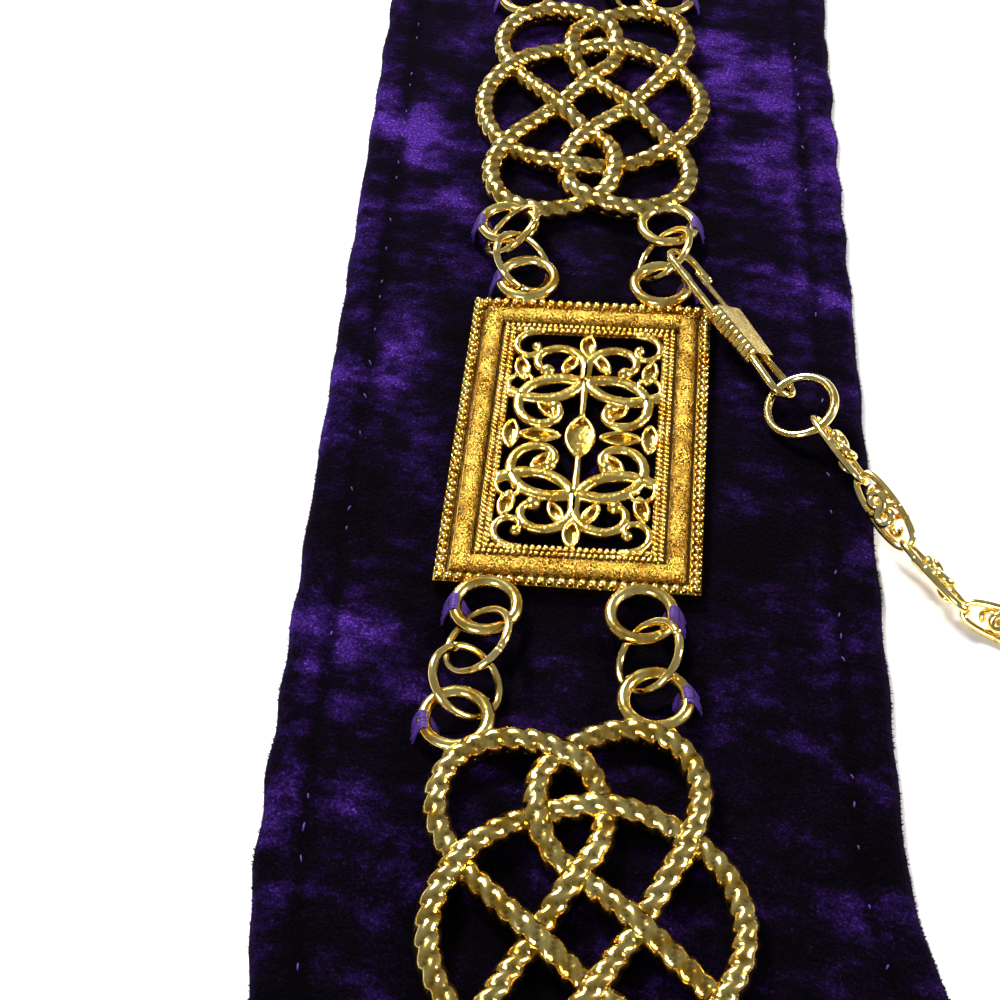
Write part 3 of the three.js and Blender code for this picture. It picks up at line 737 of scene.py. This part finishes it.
def knot_strands():
    """Closed routes of the right loop, the left loop and the oval, in plan."""
    right = resample(flat(KNOT_LOOP + [(x, -y) for x, y in KNOT_LOOP]), STRAND_STEP, True)
    left = flat((-p.x, p.y) for p in right)
    oval = flat((KNOT_OVAL[0] * cos(t), KNOT_OVAL[1] * sin(t)) for t in turns_of(48))
    return [right, left, resample(oval, STRAND_STEP, True)]


# Steps along one strand that are too close together to cross
NEAR_STEPS = 8


def crossings(strands):
    """Pairs of (strand, place along it) where two strands cross in plan."""
    spots = [(s, i) for s, strand in enumerate(strands) for i in range(len(strand))]
    starts = np.array([strands[s][i].xy for s, i in spots])
    ways = np.array([point_at(strands[s], i + 1, True).xy for s, i in spots]) - starts
    found = []
    for a, (sa, ia) in enumerate(spots):
        gap = starts[a + 1:] - starts[a]
        near = np.nonzero((np.abs(gap) < 2.5 * STRAND_STEP).all(axis=1))[0]
        for b in near + a + 1:
            sb, ib = spots[b]
            length = len(strands[sa])
            if sa == sb and min((ib - ia) % length, (ia - ib) % length) < NEAR_STEPS:
                continue
            cross = ways[a][0] * ways[b][1] - ways[a][1] * ways[b][0]
            if not cross:
                continue
            way = starts[b] - starts[a]
            t = (way[0] * ways[b][1] - way[1] * ways[b][0]) / cross
            u = (way[0] * ways[a][1] - way[1] * ways[a][0]) / cross
            if 0 <= t < 1 and 0 <= u < 1:
                found.append(((sa, ia + t), (sb, ib + u)))
    return found


def weave(strands):
    """Heights of each strand so that it goes over and under in turn."""
    pairs = crossings(strands)
    passes = sorted({place for pair in pairs for place in pair})
    rows = [[place for place in passes if place[0] == s] for s in range(len(strands))]
    partner = {a: b for pair in pairs for a, b in (pair, pair[::-1])}
    level = {passes[0]: 1}
    queue = [passes[0]]
    while queue:
        place = queue.pop()
        row = rows[place[0]]
        k = row.index(place)
        for other in (partner[place], row[(k + 1) % len(row)], row[k - 1]):
            if other not in level:
                level[other] = -level[place]
                queue.append(other)
    heights = []
    for strand, row in zip(strands, rows):
        count = len(strand)
        line = []
        for i in range(count):
            after = next((p for p in row if p[1] >= i), row[0])
            before = next((p for p in reversed(row) if p[1] < i), row[-1])
            span = (after[1] - before[1]) % count or count
            share = ((i - before[1]) % count) / span
            blend = (1 - cos(pi * share)) / 2
            line.append(level[before] + (level[after] - level[before]) * blend)
        heights.append(line)
    return heights


def build_knot():
    """Three-strand ropes with painted shade between their strands, on a plain cast core in painted shade.
    """
    knot = Builder()
    strands = knot_strands()
    sides = ROPE_LOBES * 8
    for strand, levels in zip(strands, weave(strands)):
        route = [Vector((p.x, p.y, ROPE_HEIGHT + ROPE_WEAVE * level)) for p, level in zip(strand, levels)]
        lays = max(round(len(route) * STRAND_STEP / ROPE_LAY * ROPE_LOBES), 1)
        tones = []

        def rope(i, _share):
            twist = 2 * pi * lays * i / len(route) / ROPE_LOBES
            pairs = []
            for turn in turns_of(sides):
                lobe = abs(cos(ROPE_LOBES * (turn - twist) / 2))
                radius = ROPE_RADIUS * (1 - ROPE_RELIEF + ROPE_RELIEF * lobe ** 0.5)
                pairs.append((radius * cos(turn), radius * sin(turn)))
                # Painted shade between the strands.
                tones.append(0.9 * (1 - lobe) ** 1.5)
            return pairs

        points, faces = sweep(route, True, rope)
        ordered = [t for i in range(len(route)) for t in tones[i * sides:(i + 1) * sides][::-1]]
        knot.add(points, faces, ordered)
        core = flat(p.xy for p in route[::2])
        tops = [p.z - CORE_FALL for p in route[::2]]
        # The core under the ropes is in painted shade.
        knot.add(*sweep(core, True, lambda i, _share: [
            (-CORE_FOOT, 0.0), (CORE_FOOT, 0.0), (CORE_TOP, tops[i]), (-CORE_TOP, tops[i])]), 0.5)
    add_eyes(knot, *KNOT_EYE)
    return knot


def link_places(kind):
    """Matrix of each cast link, from its CAD piece."""
    places = []
    for node in sorted(n for n in nodes if n.startswith(kind)):
        centre, along, _ = principal_frame(node)
        along = Vector((along.x, along.y, 0)).normalized() * copysign(1, along.y)
        base = Vector((centre.x, centre.y, LINK_LIFT * MM))
        places.append((node, matrix_of(base, along.cross(UP), along, UP)))
    return places


knot_places = link_places("knot_link")
place_copies(build_knot(), CAST,
             [(node.replace("link", "rope"), matrix, node) for node, matrix in knot_places])


# Plaque links: a mitred picture frame with corded edges round open scrollwork
PLAQUE_HALF = (22.7, 35.1)
OPENING_HALF = (13.9, 26.3)
SEAT_HEIGHT = 1.9
GROOVE_HEIGHT = 1.3
LEDGE_HEIGHT = 1.6
RIM_WIDTH = 1.8
LEDGE_INSET = 6.45
FRAME_STEP = 1.3
CORNERS = [(-1, -1), (1, -1), (1, 1), (-1, 1)]
# Cords round the frame: inset, radius and pitch of the beads
CORDS = [(0.9, 0.88, 1.75), (8.2, 0.6, 1.15), (7.0, 0.5, 1.0)]
BEAD_SLANT = radians(58)
# Cushion: inset of its two sides, rise and steps across
CUSHION = (2.5, 6.0, 2.0)
CUSHION_STEPS = 12
WORK_FOOT = 0.15
WORK_TOP = 2.35


def add_frame_run(piece, run, tone, wobble=0.0):
    """Part of the frame's section, as (inset, height), round its mitred sides; tone, its painted shade,
    may be a list.
    """
    source = random.Random(5)
    half_x, half_y = PLAQUE_HALF
    count = len(run)
    for (ax, ay), (bx, by) in zip(CORNERS, CORNERS[1:] + CORNERS[:1]):
        steps = int((half_x if ay == by else half_y) * 2 / FRAME_STEP)
        points = []
        for i in range(steps + 1):
            loose = wobble if 0 < i < steps else 0
            for inset, height in run:
                start = Vector((ax * (half_x - inset), ay * (half_y - inset), height))
                stop = Vector((bx * (half_x - inset), by * (half_y - inset), height))
                points.append(start.lerp(stop, i / steps) + UP * source.uniform(-loose, loose))
        faces = [(i * count + j, (i + 1) * count + j, (i + 1) * count + j + 1, i * count + j + 1)
                 for i in range(steps) for j in range(count - 1)]
        piece.add(points, faces, tone * (steps + 1) if isinstance(tone, list) else tone)


def add_cord(piece, inset, radius, pitch):
    """A row of slanting beads round the frame, like a twisted wire laid on it."""
    half_x, half_y = PLAQUE_HALF[0] - inset, PLAQUE_HALF[1] - inset
    corners = flat((half_x * x, half_y * y) for x, y in CORNERS)
    source = random.Random(9)
    for start, stop in zip(corners, corners[1:] + corners[:1]):
        way = stop - start
        count = round(way.length / pitch)
        heading = atan2(way.y, way.x) + BEAD_SLANT
        for k in range(count):
            middle = start + way * (k / count) + UP * (SEAT_HEIGHT + radius * 0.35)
            turn = Matrix.Rotation(heading + source.uniform(-0.12, 0.12), 4, "Z")
            stretch = Matrix.Diagonal((radius * 1.2, radius * 0.72, radius * source.uniform(0.9, 1.0), 1))
            points, faces = ball((0, 0, 0), 1.0, 4, 6)
            piece.add([Matrix.Translation(middle) @ turn @ stretch @ p for p in points], faces)


def build_frame():
    """Flat outer rim, a groove for the cushion and a lower inner ledge, with cords and eyes."""
    piece = Builder()
    seat, groove, ledge = SEAT_HEIGHT, GROOVE_HEIGHT, LEDGE_HEIGHT
    width = PLAQUE_HALF[0] - OPENING_HALF[0]
    start, stop, _ = CUSHION
    outer = [(0, 0), (0, seat), (RIM_WIDTH, seat), (RIM_WIDTH + 0.2, groove), (start + 0.2, groove)]
    inner = [(stop - 0.2, groove), (LEDGE_INSET, groove), (LEDGE_INSET + 0.1, ledge), (width, ledge),
             (width, 0), (0, 0)]
    # Painted shade on each strip of the section: on the walls, under the cords and most in the groove.
    for section, tones in ((outer, (0.35, 0.7, 0.6, 0.9)), (inner, (0.9, 0.8, 0.75, 0.55, 0.5))):
        for strip, tone in zip(zip(section, section[1:]), tones):
            add_frame_run(piece, strip, tone)
    for cord in CORDS:
        add_cord(piece, *cord)
    add_eyes(piece, *PLAQUE_EYE)
    return piece


def build_cushion():
    """Rounded moulding between the cords, with painted shade along its flanks."""
    piece = Builder()
    start, stop, rise = CUSHION
    run, tones = [], []
    for k in range(CUSHION_STEPS + 1):
        turn = pi * k / CUSHION_STEPS
        run.append(((start + stop) / 2 - (stop - start) / 2 * cos(turn),
                    GROOVE_HEIGHT + rise * sin(turn) ** 0.8))
        tones.append(0.9 * (1 - sin(turn)) ** 1.2)
    add_frame_run(piece, run, tones, 0.015)
    return piece


def scroll_route(foot, centre, turns, end, step=0.55):
    """Plan curve that starts at foot and winds in around centre, given as shares of the opening."""
    foot, centre = flat((x * OPENING_HALF[0], y * OPENING_HALF[1]) for x, y in (foot, centre))
    away = foot - centre
    start = atan2(away.y, away.x)
    count = max(int(abs(turns) * 2 * pi * (away.length + end) / 2 / step), 12)
    route = []
    for k in range(count + 1):
        share = k / count
        reach = away.length + (end - away.length) * share ** 0.75
        turn = start + 2 * pi * turns * share
        route.append(centre + polar(turn, reach))
    return route


def add_ribbon(piece, route, wide, narrow, closed=False, top=WORK_TOP):
    """Upright strip with a rounded crown, with dark amber painted shade down its walls."""
    def profile(_i, share):
        half = (wide + (narrow - wide) * share) / 2
        side = [(half, WORK_FOOT), (half, top - 0.5), (half * 0.72, top - 0.12), (half * 0.25, top)]
        return side + [(-x, y) for x, y in side[::-1]]

    points, faces = sweep(route, closed, profile)
    piece.add(points, faces, [0.75, 0.3, 0.0, 0.0, 0.0, 0.0, 0.3, 0.75] * len(route))


# Leaves: points round the rim, its width, and the floor's height at the rim and in the middle
LEAF_STEPS = 20
LEAF_RIM = 0.85
LEAF_FLOOR = (1.1, 0.8)


def add_leaf(piece, centre, length, width, turn):
    """Pointed oval rim with a sunk floor in painted shade."""
    place = Matrix.Translation((*centre, 0)) @ Matrix.Rotation(turn, 4, "Z")
    rim = []
    for t in turns_of(LEAF_STEPS):
        x = length / 2 * cos(t)
        y = width / 2 * sin(t) * (1 - 0.35 * cos(t) ** 2)
        rim.append(place @ Vector((x, y, 0)))
    add_ribbon(piece, rim, LEAF_RIM, LEAF_RIM, closed=True, top=WORK_TOP - 0.15)
    floor = [(p.x, p.y, LEAF_FLOOR[0]) for p in rim] + [(*centre, LEAF_FLOOR[1])]
    piece.add(floor, [(k, (k + 1) % LEAF_STEPS, LEAF_STEPS) for k in range(LEAF_STEPS)], 0.3)


# Scrolls of one quarter: foot, centre, turns, end radius, width at the foot and at the end
SCROLLS = [
    ((1.04, 0.42), (0.46, 0.68), -1.05, 1.6, 2.5, 1.5),
    ((0.0, 0.52), (0.45, 0.25), -0.95, 1.4, 2.5, 1.4),
    ((0.62, 1.02), (0.75, 0.85), -0.9, 0.9, 1.6, 1.1),
    ((0.98, 0.40), (0.80, 0.50), 0.8, 0.7, 1.0, 0.7),
]
# Leaves: across, along, length, width and turn in degrees, for one quarter and for the middle
LEAVES = [(11.9, 16.8, 5.4, 2.4, 78), (3.0, 18.6, 5.0, 2.0, 118), (6.6, 6.4, 4.4, 1.9, 50)]
MIDDLE_LEAVES = [
    (0, 23.3, 5.4, 2.6, 90), (0, -23.3, 5.4, 2.6, 90), (0, 0, 9.6, 5.0, 90), (12.6, 0, 6.4, 2.6, 90),
    (-12.6, 0, 6.4, 2.6, 90), (7.3, 0, 7.0, 2.6, 0), (-7.3, 0, 7.0, 2.6, 0)]
# Upright stems above and below the middle leaf
STEM_START = 4.4
STEM_LENGTH = 9.6


def build_scrollwork():
    quarter = Builder()
    for foot, centre, turns, end, wide, narrow in SCROLLS:
        route = scroll_route(foot, centre, turns, end)
        add_ribbon(quarter, route, wide, narrow)
        quarter.add(*ball((route[-1].x, route[-1].y, 1.35), narrow * 1.05, 6, 10, 0.95))
    for x, y, length, width, turn in LEAVES:
        add_leaf(quarter, (x, y), length, width, radians(turn))
    work = Builder()
    for x, y in ((1, 1), (1, -1), (-1, 1), (-1, -1)):
        work.merge(quarter, Matrix.Diagonal((x, y, 1, 1)))
    for x, y, length, width, turn in MIDDLE_LEAVES:
        add_leaf(work, (x, y), length, width, radians(turn))
    for sign in (1, -1):
        stem = flat((0, sign * (STEM_START + STEM_LENGTH * k / 8)) for k in range(9))
        add_ribbon(work, stem, 1.1, 1.5)
    return work


plaque_places = link_places("plaque_link")
for part, shape, gilt in (("frame", build_frame(), CAST), ("cushion", build_cushion(), GRAIN),
                          ("scrolls", build_scrollwork(), WORK)):
    place_copies(shape, gilt, [(node.replace("link", part), matrix, node if part == "frame" else None)
                               for node, matrix in plaque_places])


# Rings of round wire
RING_STEPS = 56
RING_SIDES = 14
RING_SPLIT = 0.1


def ring_matrix(node, spin=0.0):
    """Place of a ring, from its CAD piece, turned in its own plane by spin."""
    centre, _, normal = principal_frame(node)
    along = UP.cross(normal)
    along = along.normalized() if along.length > 1e-3 else Vector((1, 0, 0))
    return matrix_of(centre, along, normal.cross(along), normal) @ Matrix.Rotation(spin, 4, "Z")


def split_ring(radius, wire):
    """Bent wire ring whose two flat ends almost meet."""
    gap = RING_SPLIT / radius
    turns = [gap / 2 + (2 * pi - gap) * k / RING_STEPS for k in range(RING_STEPS + 1)]
    route = [polar(turn, radius) for turn in turns]
    piece = Builder()
    piece.add(*sweep(route, False, round_profile(wire / 2, RING_SIDES)))
    return piece


def closed_ring(radius, wire):
    piece = Builder()
    piece.add(*torus(radius, wire, RING_STEPS, RING_SIDES))
    return piece


spins = random.Random(4)
place_copies(split_ring(JUMP_RADIUS, JUMP_WIRE), BRIGHT,
             [(node.replace("jump", "link"), ring_matrix(node, spins.uniform(0, 2 * pi)), node)
              for node in RING_NODES if node != "point_ring"])
place_copies(closed_ring(*BIG_RING), BRIGHT,
             [(f"hook_ring_{side}", ring_matrix(f"big_ring_{side}"), f"big_ring_{side}")
              for side in ("left", "right")])
place_copies(closed_ring(*POINT_RING), CAST,
             [("pendant_ring", ring_matrix("point_ring"), "point_ring")])


# Snap hooks, drawn along x from the bend to the eye and then placed on the side of -X
HOOK_WIRE = 1.6
HOOK_TURNS = Euler([radians(angle) for angle in (-33.5, 2.6, -49.1)], "XYZ")
HOOK_MATRIX = Matrix.Translation((-79.70, 20.36, 8.50)) @ HOOK_TURNS.to_matrix().to_4x4()
WIRE_STEP = 0.6
TONGUE_SIDE = 2.3
TONGUE_WIRE = 1.1
TONGUE_STEP = 0.7
# Sleeve: its ends along x, half its width at each, half its thickness, and its crimped ribs
SLEEVE_START, SLEEVE_STOP = 19.0, 32.7
SLEEVE_WIDE, SLEEVE_NARROW = 3.7, 2.7
SLEEVE_HALF = 1.6
RIBS = 10
RIB_STEPS = 6
RIB_DEPTH = 0.32
SIDES = {"left": Matrix.Identity(4), "right": Matrix.Diagonal((-1, 1, 1, 1))}


def arc(centre, radius, start, stop, steps):
    """Points round (centre, 0), between two turns in degrees."""
    return [Vector((centre, 0, 0)) + polar(radians(start + (stop - start) * k / steps), radius)
            for k in range(steps + 1)]


def add_wire(piece, points, wire, step):
    piece.add(*sweep(resample(points, step, False), False, round_profile(wire / 2, RING_SIDES)))


def build_sleeve():
    """Folded brass sleeve: tapered, crimped down one side with painted shade in the crimps, and finely
    brushed across its top.
    """
    half = SLEEVE_HALF
    steps = RIBS * RIB_STEPS
    sections, tones = [], []
    for i in range(steps + 1):
        share = i / steps
        x = SLEEVE_START + (SLEEVE_STOP - SLEEVE_START) * share
        side = SLEEVE_WIDE + (SLEEVE_NARROW - SLEEVE_WIDE) * share
        pinch = RIB_DEPTH * abs(sin(pi * RIBS * share))
        low = -side + RIB_DEPTH - pinch
        ring = [(side - 0.35, -half), (side, -half + 0.35), (side, half - 0.35), (side - 0.35, half),
                (low + 0.9, half), (low + 0.35, half - 0.12), (low, half - 0.7),
                (low, -half + 0.7), (low + 0.35, -half + 0.12), (low + 0.9, -half)]
        sections.append([Vector((x, y, z)) for y, z in ring])
        # Painted shade in the hollows between the crimped ribs.
        dark = 0.75 * (1 - pinch / RIB_DEPTH) ** 2
        scratch = 0.35 if i % 2 else 0.0
        tones += [0, 0, 0, scratch, scratch, dark * 0.6, dark, dark, dark * 0.6, 0]
    piece = Builder()
    piece.add(*skin(sections, False), tones)
    return piece


def build_hook():
    """Bent hook and the eye behind the sleeve, whose wires both end inside it."""
    piece = Builder()
    bend = (flat([(SLEEVE_START + 1.5, -3.0), (14, -3.1), (9, -3.1)])
            + arc(3.9, 3.1, -90, -270, 10) + flat([(6.5, 3.2), (9, 3.4)]))
    eye = (flat([(SLEEVE_STOP - 1.5, -1.9), (36, -2.3)])
           + arc(40.1, 2.6, -90, 90, 10) + flat([(36, 2.3), (SLEEVE_STOP - 1.5, 1.9)]))
    add_wire(piece, bend, HOOK_WIRE, WIRE_STEP)
    piece.add(*ball(bend[-1], HOOK_WIRE / 2, 5, 10))
    add_wire(piece, eye, HOOK_WIRE, WIRE_STEP)
    return piece


def build_tongue():
    piece = Builder()
    route = flat([(SLEEVE_START + 0.4, TONGUE_SIDE), (15, 2.2), (11, 2.0), (6.8, 1.75)])
    add_wire(piece, route, TONGUE_WIRE, TONGUE_STEP)
    piece.add(*ball(route[-1], TONGUE_WIRE / 2, 5, 10))
    return piece


def place_sides(builder, name, material, node=None, body="collar", smooth=True):
    """The same piece on both sides, mirrored; {} in a name stands for the side."""
    for side, mirror in SIDES.items():
        piece = Builder()
        piece.merge(builder, Matrix.Scale(MM, 4) @ mirror @ HOOK_MATRIX)
        piece.object(name.format(side), material, node and node.format(side),
                     body.format(side), smooth)


place_sides(build_hook(), "hook_wire_{}", BRIGHT, "snap_hook_{}")
place_sides(build_sleeve(), "hook_sleeve_{}", BRUSHED, smooth=False)
place_sides(build_tongue(), "tongue_wire_{}", BRIGHT, "hook_tongue_{}", "tongue_{}")


# Chest chain: long oval links with an S-shaped scroll inside, turned crosswise to one another
CHAIN_LENGTH = 17.6
CHAIN_WIDTH = 6.4
CHAIN_WIRE = 1.3
CHAIN_PITCH = 15.15
CHAIN_TILT = radians(47)
CHAIN_BELLY = 0.62
CHAIN_HEIGHTS = (6.6, 5.86, 3.825, 2.9)
CHAIN_SLOPES = (50, 50, 42, 14)
CHAIN_START = 12.0
CHAIN_START_TURN = radians(-46.5)
# Curls inside one half of a link: middle along it, turns, wire radius and rise
CHAIN_CURLS = ((1.7, 1.35, 0.72, 1.3), (4.2, 0.9, 0.62, -1.0))
CURL_STEPS = 24
CURL_END = 0.5


def chain_layout(ring, steepness):
    """Place and heading of the links from one ring to the middle, as in the CAD."""
    turns = [-radians(slope) * (steepness if i else 1) for i, slope in enumerate(CHAIN_SLOPES)]
    stops = [ring.xy + polar(CHAIN_START_TURN, CHAIN_START).xy]
    for i in range(1, len(turns)):
        reach = sqrt(CHAIN_PITCH ** 2 - (CHAIN_HEIGHTS[i - 1] - CHAIN_HEIGHTS[i]) ** 2)
        turn = (turns[i - 1] + turns[i]) / 2
        stops.append(stops[-1] + polar(turn, reach).xy)
    return stops, turns


def chain_matrices():
    """Places of the links on one side; the bends are made steeper until the last is in the middle."""
    ring = principal_frame("big_ring_left")[0] / MM
    gentle, steep = 0.0, 2.0
    for _ in range(30):
        middle = (gentle + steep) / 2
        if chain_layout(ring, middle)[0][-1].x > -CHAIN_PITCH / 2:
            gentle = middle
        else:
            steep = middle
    stops, turns = chain_layout(ring, steep)
    matrices = []
    for i, (stop, turn) in enumerate(zip(stops, turns)):
        before, after = max(i - 1, 0), min(i + 1, len(stops) - 1)
        drop = CHAIN_HEIGHTS[before] - CHAIN_HEIGHTS[after]
        fall = atan2(drop, (stops[after] - stops[before]).length)
        pitch = 0 if i == len(stops) - 1 else fall
        roll = CHAIN_TILT if i % 2 else -CHAIN_TILT
        spin = Euler((roll, pitch, turn), "XYZ").to_matrix().to_4x4()
        matrices.append(Matrix.Translation((stop.x, stop.y, CHAIN_HEIGHTS[i])) @ spin)
    return matrices


def build_chain_link():
    """Wire bent in an oval whose ends curl up inside it."""
    link = Builder()
    half, side = (CHAIN_LENGTH - CHAIN_WIRE) / 2, (CHAIN_WIDTH - CHAIN_WIRE) / 2
    oval = []
    for k in range(24):
        turn = 2 * pi * (k + 0.5) / 24
        across = copysign(side * abs(sin(turn)) ** CHAIN_BELLY, sin(turn))
        oval.append(Vector((half * cos(turn), across, 0)))
    link.add(*sweep(resample(oval, 0.7, True), True, round_profile(CHAIN_WIRE / 2, 9)))
    scroll = Builder()
    for middle, turns, wire, rise in CHAIN_CURLS:
        curl = []
        for k in range(CURL_STEPS + 1):
            share = k / CURL_STEPS
            turn = pi / 2 + 2 * pi * turns * share
            reach = side + (CURL_END - side) * share ** 0.8
            curl.append(Vector((middle + reach * 1.1 * cos(turn), reach * sin(turn),
                                rise * sin(pi * share))))
        scroll.add(*sweep(curl, False, round_profile(wire, 8)))
    for turn in (0, pi):
        link.merge(scroll, Matrix.Rotation(turn, 4, "Z"))
    return link


chain = Builder()
link_shape = build_chain_link()
for link_matrix in chain_matrices():
    for mirror in SIDES.values():
        chain.merge(link_shape, Matrix.Scale(MM, 4) @ mirror @ link_matrix)
chain.object("scroll_chain", BRIGHT, "chest_chain")


# Thread tacks that hold the cast eyes on the velvet
TACK_THREADS = 10
TACK_PITCH = 0.3
TACK_RADIUS = 0.22
TACK_FOOT = (2.1, -0.9)
TACK_WAIST = EYE_HEIGHT * 0.6
TACK_TOP = EYE_HEIGHT + EYE_WIRE / 2 + 0.25


def build_tacks():
    """A bundle of threads over the outer side of each cast eye."""
    tacks = Builder()
    source = random.Random(12)
    eyes = [(matrix, spot) for places, eye in ((knot_places, KNOT_EYE), (plaque_places, PLAQUE_EYE))
            for _, matrix in places for spot in eye_spots(*eye)]
    foot_reach, foot_height = TACK_FOOT
    for matrix, (x, y) in eyes:
        out = copysign(1, x)
        for k in range(TACK_THREADS):
            slide = (k - TACK_THREADS / 2) * TACK_PITCH + source.uniform(-0.1, 0.1)
            inner_foot = EYE_RADIUS - foot_reach + source.uniform(-0.3, 0.3)
            outer_foot = EYE_RADIUS + foot_reach + source.uniform(-0.4, 0.4)
            outer_slide = slide * 1.15 + source.uniform(-0.2, 0.2)
            points = [(inner_foot, slide, foot_height), (EYE_RADIUS - 1.35, slide, TACK_WAIST),
                      (EYE_RADIUS, slide * 1.1, TACK_TOP), (EYE_RADIUS + 1.45, slide * 1.2, TACK_WAIST),
                      (outer_foot, outer_slide, foot_height)]
            route = resample([Vector((x + out * reach, y + shift, z)) for reach, shift, z in points],
                             0.5, False)
            thread = [matrix @ (p * MM) for p in route]
            tacks.add(*sweep(thread, False, round_profile(TACK_RADIUS * MM, 6)))
    tacks.object("thread_tacks", THREAD)


build_tacks()


# Camera at the photo's angle: focal length in the photo's pixels, pitch below the horizon, roll,
# distance and turn, and the plan shift from the second plaque to the point that it looks at
FOCAL_PIXELS = 1891.0
IMAGE_PIXELS = 1000.0
CAMERA_PITCH = 0.8497
CAMERA_ROLL = -0.04195
CAMERA_DISTANCE = 331.47 * MM
CAMERA_TURN = radians(17)
SENSOR = 36.0
AIM_SHIFT = Vector((14.93, 14.87, 0)) * MM
LINK_PLANE = 5.6 * MM


def set_camera():
    """Camera, and the point on the collar that it looks at."""
    plaque = principal_frame("plaque_link_left_2")[0]
    turn = Matrix.Rotation(CAMERA_TURN, 3, "Z")
    heading = turn @ Vector((0, cos(CAMERA_PITCH), -sin(CAMERA_PITCH)))
    right = turn @ Vector((1, 0, 0))
    over = right.cross(heading)
    x_axis = right * cos(CAMERA_ROLL) + over * sin(CAMERA_ROLL)
    y_axis = over * cos(CAMERA_ROLL) - right * sin(CAMERA_ROLL)
    aim = Vector((plaque.x, plaque.y, LINK_PLANE)) - turn @ AIM_SHIFT
    data = bpy.data.cameras.new("camera")
    data.sensor_width = SENSOR
    data.lens = SENSOR * FOCAL_PIXELS / IMAGE_PIXELS
    data.clip_start = 0.01
    data.clip_end = 20
    camera = bpy.data.objects.new("camera", data)
    camera.matrix_world = matrix_of(aim - heading * CAMERA_DISTANCE, x_axis, y_axis, -heading)
    bpy.context.scene.collection.objects.link(camera)
    bpy.context.scene.camera = camera
    return aim


# Lights: place seen from the aim, size, power and colour
LIGHTS = {
    "window": ((-0.35, 0.75, 0.75), (0.3, 0.22), 25, (1, 0.98, 0.95)),
    "side": ((0.85, -0.05, 0.5), (0.14, 0.3), 10, (1, 0.95, 0.88)),
    "front": ((-0.5, -0.7, 0.6), (0.2, 0.2), 5.5, (1, 1, 1))}
GROUND_HALF = 3.0


def area_light(name, place, aim, size, power, colour):
    data = bpy.data.lights.new(name, "AREA")
    data.shape = "RECTANGLE"
    data.size, data.size_y = size
    data.energy = power
    data.color = colour
    light = bpy.data.objects.new(name, data)
    light.location = place
    light.rotation_euler = (aim - place).to_track_quat("-Z", "Y").to_euler()
    bpy.context.scene.collection.objects.link(light)


def set_stage(aim):
    """Pale ground, soft sky and the lights."""
    material, _, shader, _ = node_material("pale_ground")
    set_inputs(shader, {"Base Color": (0.86, 0.86, 0.88, 1), "Roughness": 0.75})
    corners = [(GROUND_HALF * x, GROUND_HALF * y, 0) for x, y in CORNERS]
    ground = mesh_object("ground", corners, [(0, 1, 2, 3)], material, body=None, smooth=False)
    world = bpy.data.worlds.new("world")
    world.use_nodes = True
    background = next(n for n in world.node_tree.nodes if n.type == "BACKGROUND")
    set_inputs(background, {"Color": (0.8, 0.84, 0.95, 1), "Strength": 0.27})
    bpy.context.scene.world = world
    forward = Matrix.Rotation(CAMERA_TURN, 3, "Z")
    for name, (place, *light) in LIGHTS.items():
        area_light(name, aim + forward @ Vector(place), aim, *light)


set_stage(set_camera())
bpy.context.scene.view_settings.view_transform = "Standard"
